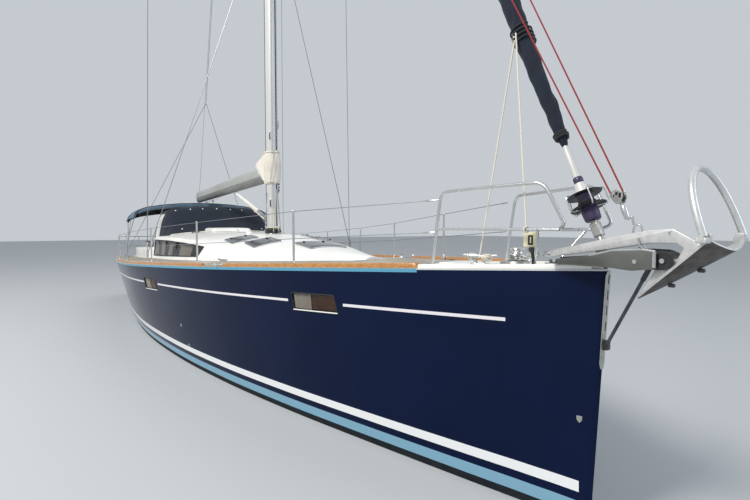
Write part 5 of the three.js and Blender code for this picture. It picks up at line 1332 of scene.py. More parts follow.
lower = turned([(0, 166), (46, 166), (54, 176), (58, 230), (50, 250), (50, 262), (0, 262)], STAY_FOOT,
               stay_way, 40)
spool = turned([(0, 272), (66, 272), (58, 284), (54, 312), (58, 342), (66, 352), (0, 352)], STAY_FOOT,
               stay_way, 40)
wound = [rod([on_stay(283 + 8 * k, 57, a) for a in around(28)], 4.2, 8, closed=True) for k in range(3)]
flanges = [turned([(0, z), (116, z), (121, z + 4), (116, z + 8), (60, z + 9), (0, z + 9)], STAY_FOOT,
                  stay_way, 56) for z in (261.5, 353)]
ferrule = turned([(0, 446), (30, 446), (33, 452), (33, 486), (28, 494), (0, 494)], STAY_FOOT, stay_way, 32)
piece("furler_lower_body", [lower, ferrule], plum_nylon, body="furler", replaces=["furler_drum"])
piece("furler_spool", spool, plum_nylon, body="furler")
piece("furler_line_turns", wound, black_braid, body="furler", slot="cream_canvas")
piece("furler_flanges", flanges, black_nylon, body="furler")
cone = turned([(0, 361.7), (104, 361.7), (96, 368), (48, 378), (44, 392), (38, 446.5), (0, 446.5)],
              STAY_FOOT, stay_way, 40)
foil_low = turned([(0, 493), (27, 493), (25, 560), (24, 700), (19, 716), (19, 840), (0, 840)], STAY_FOOT,
                  stay_way, 28)
foil_top = pin(16, stay_length - 930, stay_length - 62, STAY_FOOT, stay_way, 20)
screws = [turned([(0, 0), (5, 0), (5, 4), (0, 5)], on_stay(480 + 34 * k, 23.5, turn),
                 on_stay(0, 1, turn) - on_stay(0), 12)
          for k in range(3) for turn in (0.9, 4.0)]
piece("furler_foil", [cone, foil_low, foil_top], spar_paint, body="furler")
piece("furler_foil_screws", screws, stainless, body="furler")
guards = []
for k in range(5):
    turn = 2 * pi * k / 5 + 0.5
    guards.append(rod([on_stay(258, 60, turn), on_stay(252, 124, turn), on_stay(268, 136, turn),
                       on_stay(356, 134, turn), on_stay(370, 122, turn), on_stay(366, 64, turn)],
                      5, 10, bend=14))
piece("furler_line_guards", guards, stainless, body="furler")
jaw = box((7450 - 30, 7450 + 30), (-26, 26), (1970 + 48, 1970 + 150), 8, 3)
turned_block(jaw, -23.9, "Y", STAY_FOOT)
toggle = [jaw, pin(21, 44, 161.7, STAY_FOOT, stay_way, 28),
          turned([(0, -26), (26, -26), (26, 18), (20, 46), (0, 46)], STAY_FOOT, stay_way, 28),
          pin(11, -34, 34, STAY_FOOT, PORT, 20)]
piece("headstay_toggle", toggle, dull_stainless)


# Rolled genoa: the headsail wound tightly round its foil; its navy sacrificial strip lies outermost, so
# one edge spirals up the whole roll.
ROLL = [(746, 20), (800, 33), (870, 45), (960, 50), (1500, 64), (2200, 77), (3600, 96), (5000, 104),
        (8500, 95), (12200, 66), (stay_length - 940, 28)]
navy_canvas = canvas("navy_acrylic_canvas", "0A1A2D", "061122")


def roll_out(far, turn):
    """The roll's radius at a distance up the stay and an angle: a winding's edge, with creases across it."""
    wind = ((turn / (2 * pi)) - far / 1050) % 1.0
    edge = 7.0 * (1 - wind) + 5.0 * max(0.0, 1 - abs(wind - 0.04) / 0.05)
    creases = 2.2 * sin(far / 37 + 2.1 * sin(turn + far / 300)) + 1.6 * sin(far / 83 + 3 * turn)
    creases += 1.3 * sin(far / 21 - 2 * turn)
    return fair(ROLL, far)[1] + (edge + creases - 6) * min(1, (far - ROLL[0][0]) / 150)


roll = loft([[on_stay(far, roll_out(far, a), a) for a in around(48)]
             for far in [ROLL[0][0] + 26 * i for i in range(93)] + along(3180, ROLL[-1][0], 75)])
piece("genoa_roll", roll, navy_canvas, body="furler", replaces=["genoa_furled"], smooth=60)
turns = []
for low, high, count in ((806, 850, 3), (1655, 1800, 4)):
    steps = count * 26
    turns.append(rod([on_stay(low + (high - low) * i / steps,
                              fair(ROLL, low + (high - low) * i / steps)[1] + 9, 2 * pi * i / 26)
                      for i in range(steps + 1)], 7.5, 8))
clew = [turned([(11, -4), (22, -4), (24, 0), (22, 4), (11, 4), (11, -4)], on_stay(1730, 78, 4.2),
               on_stay(0, 1, 4.2) - on_stay(0), 24)]
piece("genoa_sheet_turns", turns, black_braid, body="furler")
piece("genoa_clew_ring", clew, stainless, body="furler")


# Lines made off at the bow: both genoa sheets, brought taut from the roll to the bow cleat and the
# pulpit, and two red halyards parked on a block at the roller.
PULPIT_KNOT = at(7051, -280, 2060)
bow_cleat = at(6610, -300, 1833)
made_off = [rod([on_stay(1700, 84, 4.4), bow_cleat + at(0, 0, 20)], 6.5, 8),
            rod([on_stay(1740, 84, 4.8), PULPIT_KNOT], 6.5, 8)]
hitches = [rod([bow_cleat + at(s * 95 + 8 * cos(a), 24 * cos(a), 8 + 22 * sin(a)) for a in around(12)],
               10, 8, closed=True) for s in (-1, -0.7, 0.7, 1)]
hitches.append(rod([bow_cleat + at(100 * sin(a), 26 * sin(2 * a), 16) for a in around(32)], 10, 8,
                   closed=True))
hitches.append(rod([PULPIT_KNOT + at(6 * cos(a), 20 * cos(a), 20 * sin(a)) for a in around(12)], 6.5, 8,
                   closed=True))
lines = piece("genoa_sheets", [*made_off, *hitches], white_braid)
BLOCK = at(7637, -130, 2264)
RED_RUNS = [((7596, -148, 2282), (1146, -60, 13950)), ((7650, -112, 2300), (1146, 60, 14850))]
reds = [rod([at(*low), at(*high)], 5.5, 8) for low, high in RED_RUNS]
piece("bow_halyards", reds, red_braid)
shell = [(7590, 2268), (7604, 2300), (7638, 2312), (7668, 2296), (7676, 2262), (7664, 2226), (7640, 2216),
         (7618, 2232)]
holes = [side_prism(softened([(x - 8, z - 15), (x + 8, z - 15), (x + 8, z + 15), (x - 8, z + 15)], 7),
                    -180, -80) for x, z in ((7614, 2276), (7636, 2288), (7658, 2272))]
cheeks = [rounded(side_prism(softened(shell, 14), y - 3, y + 3), 1.5, 2, 40) for y in (-152, -108)]
cheeks = [carved(cheek, *[hole.copy() for hole in holes]) for cheek in cheeks]
for hole in holes:
    hole.free()
piece("bow_halyard_block", cheeks, dull_stainless, slot="white_gelcoat")
sheaves = [turned([(0, -17), (30, -17), (24, 0), (30, 17), (0, 17)], BLOCK, PORT, 28)]
piece("bow_halyard_sheave", sheaves, black_nylon)
swivel = [rod([at(7650, -130, 2224), at(7668, -130, 2196)], 9, 12),
          turned([(0, -44), (15, -44), (19, -30), (15, 40), (0, 44)], at(7681, -130, 2164),
                 (31, 0, -82), 24),
          rod([at(7696, -130, 2124), at(7725, -130, 2147), at(7735, -130, 2090)], 8, 10, bend=16),
          rod([at(7760 + 28 * cos(a), -130, 2050 + 44 * sin(a)) for a in around(20)], 7, 10, closed=True),
          rod([at(7772, -150, 2012), at(7790, -152, 1950), at(7790, -108, 1950), at(7772, -110, 2012)],
              6, 10, bend=16)]
piece("bow_halyard_shackles", swivel, stainless)


# Bow roller: two deep cheek plates of stainless on a welded base, an inner plate beside the lane, and a
# nylon roller at the end that the anchor's shank lies over; the headstay's tang is on the centre line,
# and a bobstay bar runs from the base down to the stem.
CHEEK = [(7180, 1833), (7880, 1833), (7965, 1842), (7996, 1885), (7975, 1930), (7925, 1948), (7830, 1950),
         (7640, 1935), (7490, 1897), (7180, 1866)]
OUTER_CHEEK = [(7180, 1838), (7300, 1832), (7640, 1826), (7760, 1818), (7894, 1836), (7900, 1938),
               (7830, 1947), (7640, 1935), (7490, 1897), (7180, 1852)]
LANE, ROLLER, EDGE_X, BOB_Z = -130, (7932, 1886), 7894, 1292

# Aged stainless plate: dull mid grey, brushed along its length and stained by chain.
aged_stainless = patchy("aged_stainless_plate", {"Metallic": 0.6},
                        (160, "70716D", "535450", (0.35, 0.7), (0.3, 1, 1)), (14, 0.08, 5.0, (0.15, 1, 1)),
                        (0.38, 0.62))

plates, rims, bolts = [], [], []
for y in (LANE - 64, LANE + 64):
    plates.append(rounded(side_prism(softened(OUTER_CHEEK, 10), y - 4, y + 4), 1.2, 2, 40))
    rims.append(rod([at(x, y, z) for x, z in OUTER_CHEEK[5:9]], 7, 12, bend=20))
    rims.append(rod([at(EDGE_X, y, 1845), at(EDGE_X, y, 1938)], 12, 16))
    for x, z in ((7225, 1848), (7784, 1874)):
        bolts.append(pin(13, -9, 9, at(x, y, z), PORT, 20))
inner = rounded(side_prism(softened(CHEEK, 18), LANE + 49, LANE + 55), 1.2, 2, 40)
piece("bow_roller_inner_plate", inner, charcoal_and_painted_shade, slot="stainless")
plates.append(box((7180, 7900), (LANE - 60, LANE + 60), (1833, 1841), 1))
base_plan = [(7180, -200), (7490, -200), (7490, 45), (7400, 90), (7180, 90)]
plates.append(rounded(plan_prism(base_plan, 1826, 1834), 2, 2, 40))
tang_side = [(7380, 1780), (7488, 1780), (7478, 1985), (7422, 1985)]
plates.append(rounded(side_prism(softened(tang_side, 14), -9, 9), 2, 2, 40))
for x, y in ((7215, -30), (7215, 60), (7450, 20), (7330, 55)):
    bolts.append(turned([(0, -2), (14, -2), (14, 6), (8, 9), (0, 9)], at(x, y, 1834), UP, 16))
bolts.append(turned([(0, -58), (14, -58), (14, -47), (9, -46), (9, 49), (0, 49)],
                    at(ROLLER[0], LANE, ROLLER[1]), PORT, 24))
piece("bow_roller_plates", plates, aged_stainless, replaces=["bow_roller"])
piece("bow_roller_rims", rims, stainless)
piece("bow_roller_bolts", bolts, stainless)
wheel_line = [(11, -46), (50, -46), (52, -42), (50, -32), (37, -13), (37, 13), (50, 32), (52, 42), (50, 46),
              (11, 46), (11, -46)]
piece("bow_roller_sheave", turned(wheel_line, at(ROLLER[0], LANE, ROLLER[1]), PORT, 40), black_nylon)
bob_top, bob_low = at(7808, -80, 1832.7), at(stem_x(BOB_Z) + 22, 0, BOB_Z)
reach = (bob_top - bob_low).length * 1000
bob_lug = [(7440, BOB_Z - 47), (stem_x(BOB_Z) + 46, BOB_Z - 30), (stem_x(BOB_Z) + 46, BOB_Z + 30),
           (7440, BOB_Z + 38)]
bob = [turned([(0, 0), (15, 0), (15, 30), (11, 40), (11, reach - 96), (15, reach - 90), (15, reach),
               (0, reach)], bob_low, bob_top - bob_low, 20),
       pin(9, -20, 20, bob_low, PORT, 16), pin(9, -20, 20, bob_top, PORT, 16),
       rounded(side_prism(softened(bob_lug, 16), -7, 7), 2, 2, 40)]
# The bar is stainless; its charcoal finish is painted shade.
piece("bobstay_bar", bob, charcoal_and_painted_shade, slot="stainless", replaces=["bobstay"])


# Anchor: a galvanised steel plough with a deep shank and a roll bar, stowed on the roller; its fluke's
# underside is drawn dark brown grey, as painted shade.
SHANK = [
    (7095, 1905), (7110, 1862), (7590, 1938), (7841, 1983), (7985, 1985), (8022, 1962), (7992, 1900),
    (7935, 1888), (7935, 1832), (7872, 1832), (7795, 1690), (7812, 1686), (8160, 1906), (8100, 1992),
    (7965, 2067), (7840, 2060), (7590, 2012), (7447, 1978),
]
# Columns: row, x, z, half width, rise of the edges, thickness.
FLUKE = [(0, 7768, 1656, 6, 3, 10), (1, 7905, 1743, 72, 20, 14), (2, 8090, 1860, 142, 42, 14),
         (3, 8258, 1967, 196, 66, 14)]
FACE = Vector((-0.535, 0, 0.845))
HOOP = {"x": 8213, "z": 2030, "half": 219, "belly": 0.02, "rise": 362, "lean": 120, "tube": 19}

# Hot-dip galvanised steel: pale matt grey zinc, faintly mottled where the crystals meet.
galvanised = patchy("hot_dip_galvanised_steel", {"Metallic": 0.55},
                    (30, "D4D4D2", "BEBFBE", (0.3, 0.8)), (12, 0.06), (0.42, 0.58))

# The roll bar's zinc, polished by handling: brighter and smoother.
galvanised_bright = patchy("rubbed_galvanised_tube", {"Metallic": 0.6},
                           (60, "DADBDA", "C9CBCA"), (30, 0.03), (0.26, 0.42))

# Painted shade on the fluke's underside: the zinc drawn brown grey and rough.
fluke_underside_shade = patchy("fluke_underside_painted_shade", {"Metallic": 0.4, "Roughness": 0.62},
                   (70, "4A4746", "6E6A68"), (14, 0.15, 5.0))

shank_bar = carved(rounded(side_prism(SHANK, LANE - 10, LANE + 10), 4, 3, 20),
                   pin(13, -20, 20, at(7953, LANE, 2040), PORT, 24),
                   pin(13, -20, 20, at(7135, LANE, 1886), PORT, 24))
piece("anchor_shank", shank_bar, galvanised, replaces=["anchor"], smooth=40)
rows = []
for i in range(19):
    _, x, z, half, rise, thick = fair(FLUKE, i / 6)
    spread = [k / 8 - 1 for k in range(17)]
    top = [at(x, LANE + half * s, z) + FACE * rise * (0.25 * abs(s) + 0.75 * s * s) / 1000 for s in spread]
    rows.append(top + [p - FACE * thick / 1000 for p in reversed(top)])
plough = rounded(loft(rows), 3, 2, 50)
# Faces turned down, away from the fluke's face, take the painted shade.
for face in plough.faces:
    face.material_index = int(face.normal.dot(FACE) < -0.3)
piece("anchor_fluke", plough, galvanised, fluke_underside_shade, smooth=50)
arc = []
for i in range(41):
    angle = pi * i / 40
    h = sin(angle) ** 0.9
    arc.append(at(HOOP["x"] - HOOP["lean"] * h, LANE + HOOP["half"] * cos(angle) * (1 + HOOP["belly"] * h),
                  HOOP["z"] + HOOP["rise"] * h))
piece("anchor_roll_bar", rod(arc, HOOP["tube"], 24), galvanised_bright)
ears = []
for side in (1, -1):
    ears.append(rounded(side_prism(softened([(8180, 1982), (8232, 2004), (8234, 2044), (8192, 2046)], 10),
                                   *sorted((LANE + side * 172, LANE + side * 184))), 3, 2, 40))
    ears.append(pin(14, -32, 32, at(8208, LANE + side * 206, 2022), PORT, 20))
    ears.append(box((8180, 8232), sorted((LANE + side * 176, LANE + side * 236)), (1996, 2024), 7, 3))
piece("anchor_roll_bar_ears", ears, galvanised)
lugs = [box((x - 17, x + 17), (LANE - 12, LANE + 12), (z - 26, z - 4), 5)
        for x, z in ((7960, 1762), (8110, 1858))]
piece("anchor_fluke_lugs", lugs, charcoal_and_painted_shade)
CHAIN_PITCH, LINK = 36, 5
chain_from, chain_to = at(6872, -118, 1850), at(7128, LANE, 1892)
links = []
count = round((chain_to - chain_from).length * 1000 / CHAIN_PITCH)
way = (chain_to - chain_from).normalized()
for k in range(count + 1):
    middle = chain_from.lerp(chain_to, k / count)
    side_way = way.cross(Vector(UP)).normalized() if k % 2 else Vector(UP)
    ring = [middle + (way * 23 * cos(a) * (1.0 if abs(cos(a)) > 0.5 else 0.9) + side_way * 13 * sin(a))
            / 1000 for a in around(12)]
    links.append(rod(ring, LINK, 6, closed=True))
piece("anchor_chain", links, galvanised)


# Windlass: a cast stainless housing on the foredeck beside the anchor locker, with the chain wheel and
# the rope drum on an upright shaft.
SHAFT_X, SHAFT_Y, DRUM_Z, DRUM_TEETH = 6780, -65, 1820.5, 7
housing = [turned([(0, 1735), (112, 1735), (112, 1750), (98, 1762), (95, 1780), (90, 1806), (78, 1818),
                   (0, 1820)], at(SHAFT_X, SHAFT_Y, 0), UP, 56),
           turned([(0, 1735), (70, 1735), (66, 1755), (60, 1765), (60, 1795), (48, 1806), (0, 1808)],
                  at(6660, -45, 0), UP, 40),
           rounded(plan_prism(softened([(6560, -120), (6900, -150), (6900, 30), (6560, 30)], 50),
                              1730, 1746), 4, 3, 40)]
piece("windlass_housing", housing, dull_stainless, replaces=["windlass"])
drum_line = [(0, 0), (66, 0), (72, 4), (74, 14), (66, 22), (50, 30), (50, 42), (66, 50), (74, 58), (70, 66),
             (50, 74), (44, 90), (46, 106), (56, 118), (60, 126), (56, 134), (30, 140), (0, 141)]
drum = turned([(r, 0.72 * h) for r, h in drum_line], at(SHAFT_X, SHAFT_Y, DRUM_Z), UP, 56)
teeth = []
for k in range(DRUM_TEETH):
    tooth = box((SHAFT_X + 48, SHAFT_X + 72), (SHAFT_Y - 5, SHAFT_Y + 5), (DRUM_Z + 20, DRUM_Z + 32), 2)
    teeth.append(turned_block(tooth, k * 360 / DRUM_TEETH, "Z", at(SHAFT_X, SHAFT_Y, 1930)))
piece("windlass_drum_turned", [drum, *teeth], stainless, body="windlass_drum", replaces=["windlass_drum"])


# Pulpit: one bent stainless tube round the bow with an open front, its mid rails and raking front legs,
# and the navigation light box on its own post.
TUBE = 13

# Cream gelcoat: sun-yellowed, half gloss.
cream_gelcoat = patchy("sun_yellowed_gelcoat", {"IOR": 1.5, "Roughness": 0.35},
                       (60, "E6E0BE", "D3CBA2"), (14, 0.05))


def pulpit_beam():
    return beam_at(6170) - 95


rails = []
for side in (1, -1):
    wide = pulpit_beam()
    rails.append(rod([at(6170, side * wide, 1660), at(6300, side * wide, 2364), at(7195, side * 282, 2384),
                      at(7352, side * 262, 2096), at(7280, side * 225, 2060), at(7258, side * 110, 2060),
                      at(7258, -side * 4, 2060)], TUBE, 20, bend=80))
    rails.append(rod([at(6238, side * wide, 2060), at(7288, side * 232, 2060)], 11, 16))
    rails.append(rod([at(7146, side * 273, 2060), at(6946, side * 78, 1712)], 12, 16))
    for x, y in ((6170, wide), (6946, 78)):
        rails.append(turned([(0, 0), (36, 0), (36, 5), (20, 9), (18, 30), (0, 30)],
                            at(x, side * y, deck_at(x, y) - 1), UP, 24))
piece("pulpit_rails", rails, stainless, replaces=["pulpit"])
LIGHT, FACING = at(7003, -182, 1984), -47
light_box = turned_block(box((6977, 7029), (-230, -134), (1927, 2041), 16, 3), FACING, "Z", LIGHT)
light_mark = turned_block(box((7031, 7036), (-187, -177), (1962, 2006), 2), FACING, "Z", LIGHT)
piece("nav_light_housing", [light_box, light_mark], cream_gelcoat)
slits = [turned_block(box((7023, 7033), (-200, -164), (1948, 2020), 5, 3), FACING, "Z", LIGHT)]
post = turned([(0, 0), (9, 0), (11, 100), (15, 128), (28, 138), (28, 160), (0, 162)], at(7026, -172, 1766),
              (-0.02, -0.06, 1), 28)
piece("nav_light_lenses", [*slits, post], black_nylon)


# Lifelines: stanchion tubes in deck sockets along both sides, with two stainless wires through them
# that are set up by bottlescrews between the pulpit and the pushpit.
STANCHIONS = (4570, 2550, 750, -1250, -3250, -5050)
for side, hand in SIDES:
    posts, wires = [], []
    for x in STANCHIONS:
        y, top = beam_at(x) - 68, sheer_at(x) + 610
        posts.append(rod([at(x, side * y, sheer_at(x) - 60), at(x, side * y, top - 4)], 12.5, 20))
        posts.append(turned([(0, -6), (12.5, -6), (12.5, 0), (9, 5), (0, 6)], at(x, side * y, top - 4), UP,
                            20))
        foot = deck_at(x, y)
        posts.append(turned([(0, 0), (38, 0), (38, 5), (22, 9), (18, 16), (18, 62), (16, 66), (0, 66)],
                            at(x, side * y, foot - 1), UP, 28))
        posts.append(pin(4, -22, 22, at(x, side * y, foot + 42), (1, 0, 0), 12))
        for drop in (15, 305):
            posts.append(turned([(12, -4), (15, -3), (15, 3), (12, 4), (12, -4)],
                                at(x, side * y, top - drop), UP, 20))
    for height, front_x, aft_z in ((595, 6230, 1780), (305, 6210, 1500)):
        front_z = {595: 2304, 305: 2035}[height]
        line = [at(-5830, side * (beam_at(-5850) - 72), aft_z)]
        line += [at(x, side * (beam_at(x) - 68), sheer_at(x) + height) for x in reversed(STANCHIONS)]
        line.append(at(front_x, side * (pulpit_beam() - 30), front_z))
        wires.append(rod(line, 3.5, 8))
        for end, onward in ((line[0], line[1]), (line[-1], line[-2])):
            way = (onward - end).normalized()
            posts.append(turned([(0, -6), (6, -6), (6, 20), (8, 24), (8, 120), (5, 126), (5, 160), (0, 162)],
                                end, way, 16))
    piece(f"stanchions_{hand}", posts, stainless, replaces=[f"lifelines_{hand}"])
    piece(f"lifeline_wires_{hand}", wires, rig_wire)


# Pushpit: two quarter rails of bent and welded stainless tube in deck sockets, open between them at
# the stern for the boarding ladder.
for side, hand in SIDES:
    rails = []
    for z in (1800, 1520):
        start = at(-5850, side * (beam_at(-5850) - 72), z)
        rails.append(rod([start, at(-6800, side * (beam_at(-6800) - 90), z), at(-6980, side * 1500, z),
                          at(-6980, side * 420, z)], TUBE, 20, bend=200))
    for x, y in ((-5850, beam_at(-5850) - 72), (-6980, 420), (-6980, 1450)):
        foot = deck_at(max(x, -7450), min(y, beam_at(x) - 20))
        rails.append(rod([at(x, side * y, foot - 30), at(x, side * y, 1800)], TUBE, 20))
        rails.append(turned([(0, 0), (38, 0), (38, 5), (22, 9), (18, 16), (18, 50), (0, 50)],
                            at(x, side * y, foot - 1), UP, 28))
    piece(f"pushpit_rails_{hand}", rails, stainless, replaces=[f"pushpit_{hand}"])


# Winches: a turned stainless drum over a base ring bolted to its pad, with black self-tailing jaws, a
# cast feeder arm and the handle socket on top.
for name, x, y, z in (("winch_cockpit_port", -4650, 1450, 1554.5),
                      ("winch_cockpit_starboard", -4650, -1450, 1554.5),
                      ("winch_house_port", -2800, 780, 1946.5),
                      ("winch_house_starboard", -2800, -780, 1946.5)):
    barrel = turned([(0, 0), (80, 0), (82, 4), (82, 22), (78, 28), (66, 34), (60, 46), (57, 60), (57, 88),
                     (61, 104), (70, 114), (74, 118), (72, 122), (58, 125), (0, 125)], at(x, y, z), UP, 56)
    crown = turned([(0, 133), (56, 133), (70, 130), (76, 134), (76, 142), (68, 148), (44, 158), (34, 168),
                    (16, 168), (16, 150), (0, 150)], at(x, y, z), UP, 56)
    piece(f"{name}_barrel", [barrel, crown], stainless, body=name, replaces=[name])
    jaw = turned([(0, 124.5), (64, 124.5), (56, 128), (56, 130), (64, 133.5), (0, 133.5)],
                 at(x, y, z), UP, 48)
    arm = turned_block(box((x + 30, x + 92), (y - 11, y + 11), (z + 146, z + 156), 5),
                       140 if y > 0 else -140, "Z", at(x, y, z))
    piece(f"{name}_tailer", [jaw], black_nylon, body=name)
    piece(f"{name}_feeder", arm, dull_stainless, body=name)


# Helm: a white moulded pedestal for each wheel with a compass in its binnacle, and a stainless wheel
# whose rim is stitched round with grey hide.
HELM = {"x": -5480, "y": 830, "z": 1430, "radius": 430, "column": -5320}

# Stitched hide: grey, satin and pebbled.
pale_hide = patchy("stitched_grey_hide", {"Roughness": 0.55, "Sheen Weight": 0.1},
                   (90, "8D8A84", "716E69"), (3, 0.3, 2.0))

for side, hand in SIDES:
    y = side * HELM["y"]
    column = loft([[at(HELM["column"] + a, y + b, z) for a, b in oval(w, d, 3.2, 48)] for z, w, d in
                   ((820.3, 90, 95), (860, 88, 92), (1200, 82, 84), (1440, 88, 92), (1478, 84, 90),
                    (1490, 70, 78))])
    binnacle = turned([(0, 0), (85, 0), (85, 30), (80, 44), (62, 52), (0, 52)],
                      at(HELM["column"], y, 1489), UP, 48)
    dome = turned([(0, 0), (58, 0), (58, 8), (54, 24), (40, 40), (20, 50), (0, 52)],
                  at(HELM["column"], y, 1541), UP, 48)
    piece(f"pedestal_{hand}_moulding", [column, binnacle], white_gelcoat, replaces=[f"pedestal_{hand}"])
    piece(f"compass_dome_{hand}", dome, smoked_acrylic)
    guard = [rod([at(HELM["column"], y + k * 92, z) for k, z in
                  ((s, 1500), (s, 1570), (s * 0.6, 1592), (0, 1594))], 6, 12, bend=30) for s in (1, -1)]
    dials = [box((-5412, -5402), (y + low, y + low + 54), (1380, 1434), 8, 3) for low in (-62, 8)]
    piece(f"compass_guard_{hand}", guard, stainless)
    piece(f"helm_dials_{hand}", dials, black_nylon)
    centre = at(HELM["x"], y, HELM["z"])
    rim = [centre + at(0, HELM["radius"] * cos(a), HELM["radius"] * sin(a)) for a in around(72)]
    piece(f"wheel_{hand}_rim", rod(rim, 15, 16, closed=True), pale_hide, body=f"helm_{hand}",
          replaces=[f"wheel_{hand}"])
    spokes = [turned([(0, -25), (34, -25), (34, 50), (24, 64), (0, 69)], centre, (1, 0, 0), 36)]
    for k in range(5):
        a = pi / 2 + 2 * pi * k / 5
        way = at(0, cos(a), sin(a))
        spokes.append(rod([centre + at(14, 0, 0) + way * 28, centre + way * 422], 8, 16))
    piece(f"wheel_{hand}_spokes", spokes, stainless, body=f"helm_{hand}")


# Cockpit table: a varnished teak top whose two leaves are raised on piano hinges, on a white moulded
# post that stands on the cockpit sole.
TABLE_X, TABLE_Z, LEAF = (-4750, -3960), (1412, 1440), 260
post = loft([[at(sum(TABLE_X) / 2 + a, b, z) for a, b in oval(w, 86, 4.0, 48)]
             for z, w in ((820.3, 243), (880, 236), (1380, 236), (1412, 243))])
piece("cockpit_table_post", post, white_gelcoat, replaces=["cockpit_table"])
top = [box(TABLE_X, y, TABLE_Z, 6, 3) for y in ((-98, 98), (100, LEAF), (-LEAF, -100))]
piece("cockpit_table_top", top, varnished_teak)
piece("cockpit_table_hinges", [rod([at(-4740, s * 99, 1413), at(-3970, s * 99, 1413)], 3.5, 8)
                               for s in (1, -1)], stainless)


# Dodger: a navy canvas spray hood over the companionway on two stainless hoops, with clouded vinyl
# windows in its sides, pale studs along its folds, and a pale boltrope channel round its foot.
HOOD_BACK, HOOD_FRONT, FOOT_Y = -4250, -2250, 1347
DODGER_HALF = [(1345, 1300), (1340, 1850), (1262, 2250), (1150, 2478), (960, 2556), (450, 2604), (0, 2612)]
DODGER_ROWS = [(HOOD_FRONT, 0.02), (-2700, 0.42), (-3300, 1.0), (HOOD_BACK, 0.985)]


def arched(half, bend):
    """A smooth arch from starboard over to port through a half outline's corners, as even (y, z) pairs."""
    corners = [Vector((-y, z, 0)) / 1000 for y, z in half]
    corners += [Vector((y, z, 0)) / 1000 for y, z in half[-2::-1]]
    line, points = bent(corners, bend), []
    runs = [(b - a).length for a, b in zip(line, line[1:])]
    whole, count = sum(runs), 96
    for i in range(count + 1):
        far, k = whole * i / count, 0
        while k < len(runs) - 1 and far > runs[k]:
            far -= runs[k]
            k += 1
        p = line[k].lerp(line[k + 1], min(1, far / runs[k]))
        points.append((p.x * 1000, p.y * 1000))
    return points


DODGER_ARCH = arched(DODGER_HALF, 190)


def dodger_point(x, y, z, out=0.0):
    """Where the hood's cloth is: drawn down ahead of the hoops, slack between them and along its foot."""
    table = [(-row[0], row[1]) for row in DODGER_ROWS]
    risen = max(0.0, min(1.0, fair(table, -x)[1]))
    slack = (14 * sin(pi * min(1, max(0, (x - HOOD_BACK) / 950)))
             + 3 * sin(y / 90 + x / 60) * (1 - abs(y) / 1500))
    slack += 2.5 * sin(x / 33 + z / 120) + (4 * sin(z / 60 + x / 240) if z < 2100 else 0)
    high = 1890 + (z - 1890) * risen if z > 1890 else z
    lean = 1 - 0.05 * (1 - risen) * (z > 1890)
    return at(x, y * lean + copysign(out, y) * (abs(y) > 700),
              high - slack * min(1, max(0, (z - 1500) / 500)) + out * (abs(y) <= 1200))


hood_rows = [[dodger_point(x, y, z) for y, z in DODGER_ARCH] for x in along(HOOD_BACK, HOOD_FRONT, 62)]
hood_cloth = loft(hood_rows, closed=False)
WING_TOP = max(z for y, z in DODGER_ARCH if z < 2430)
wings = [f for f in hood_cloth.faces if f.calc_center_median().x < -3.84
         and f.calc_center_median().z * 1000 < WING_TOP - 8]
bmesh.ops.delete(hood_cloth, geom=wings, context="FACES")
hood = piece("dodger_hood", hood_cloth, navy_canvas, replaces=["dodger"], smooth=60)
hoops = []
for x in (-3300, -4225):
    line = [dodger_point(x, y, z) - at(0, copysign(14, y) if abs(y) > 700 else 0, 14 if z > 2000 else 0)
            for y, z in DODGER_ARCH[2:-2]]
    hoops.append(rod(line, 12, 16))
grab = rod([at(-4262, -1180, 2330), at(-4290, -1080, 2440), at(-4290, -700, 2545), at(-4290, 0, 2592),
            at(-4290, 700, 2545), at(-4290, 1080, 2440), at(-4262, 1180, 2330)], 12, 16, bend=120)
piece("dodger_hoops", [*hoops, grab], stainless)
edge = rod([dodger_point(HOOD_BACK, y, z, 3) for y, z in DODGER_ARCH if z >= WING_TOP], 9, 10)
seams = [rod([dodger_point(x, y, z, 2) for y, z in DODGER_ARCH[8:-8]], 3.5, 8) for x in (-3300, -2750)]
piece("dodger_bound_edges", [edge, *seams], navy_canvas)
studs = []
for x, step in ((-3150, 330), (-2480, 660)):
    for y in range(-990, 991, step):
        near = min(DODGER_ARCH, key=lambda p: abs(p[0] - y))
        p = dodger_point(x, near[0], near[1], 5)
        studs.append(turned([(0, 0), (17, 0), (16, 6), (8, 10), (0, 10)], p, (0.8, 0, 1), 16))
for side in (1, -1):
    for x in range(-3700, -2400, 320):
        studs.append(turned([(0, 0), (15, 0), (14, 5), (7, 9), (0, 9)], at(x, side * 1349, 1500),
                            (0, side, 0), 16))
piece("dodger_studs", studs, white_gelcoat)
sides = along(-3850, HOOD_FRONT - 10, 200)
foot_line = [at(x, -FOOT_Y, 1330) for x in sides]
foot_line += [at(HOOD_FRONT + 6, y, roof_at(HOOD_FRONT, y) + 14) for y in range(-1250, 1251, 125)]
foot_line += [at(x, FOOT_Y, 1330) for x in reversed(sides)]
piece("dodger_foot_channel", rod(foot_line, 12, 10, bend=60), cream_canvas)

# Clear vinyl, clouded by sun and drawn nearly white: partly its clouding and partly a painted reflection of
# bright sky, so it reads nearly white from ahead.
vinyl_with_painted_sky = patchy("clouded_vinyl_painted_reflection", {"Roughness": 0.28, "IOR": 1.53},
                       (200, "D8DBDB", "C3C8CA"), (40, 0.06))

strips = []
for side, hand in SIDES:
    wing = sorted([p for p in DODGER_ARCH if p[0] * side > 0 and 1330 < p[1] <= WING_TOP],
                  key=lambda p: p[1])
    strips.append(rod([dodger_point(-3852, y, z, 2) for y, z in wing], 15, 10))
    strips.append(rod([dodger_point(-3340, y, z, 5) for y, z in wing if z > 1430], 5, 8))
    glazed = [[dodger_point(x, y, z, 5) for y, z in wing if z > 1430] for x in along(-3840, -3340, 62)]
    panel = piece(f"dodger_side_window_{hand}", loft(glazed, closed=False), vinyl_with_painted_sky)
piece("dodger_side_zips", strips, cream_canvas)
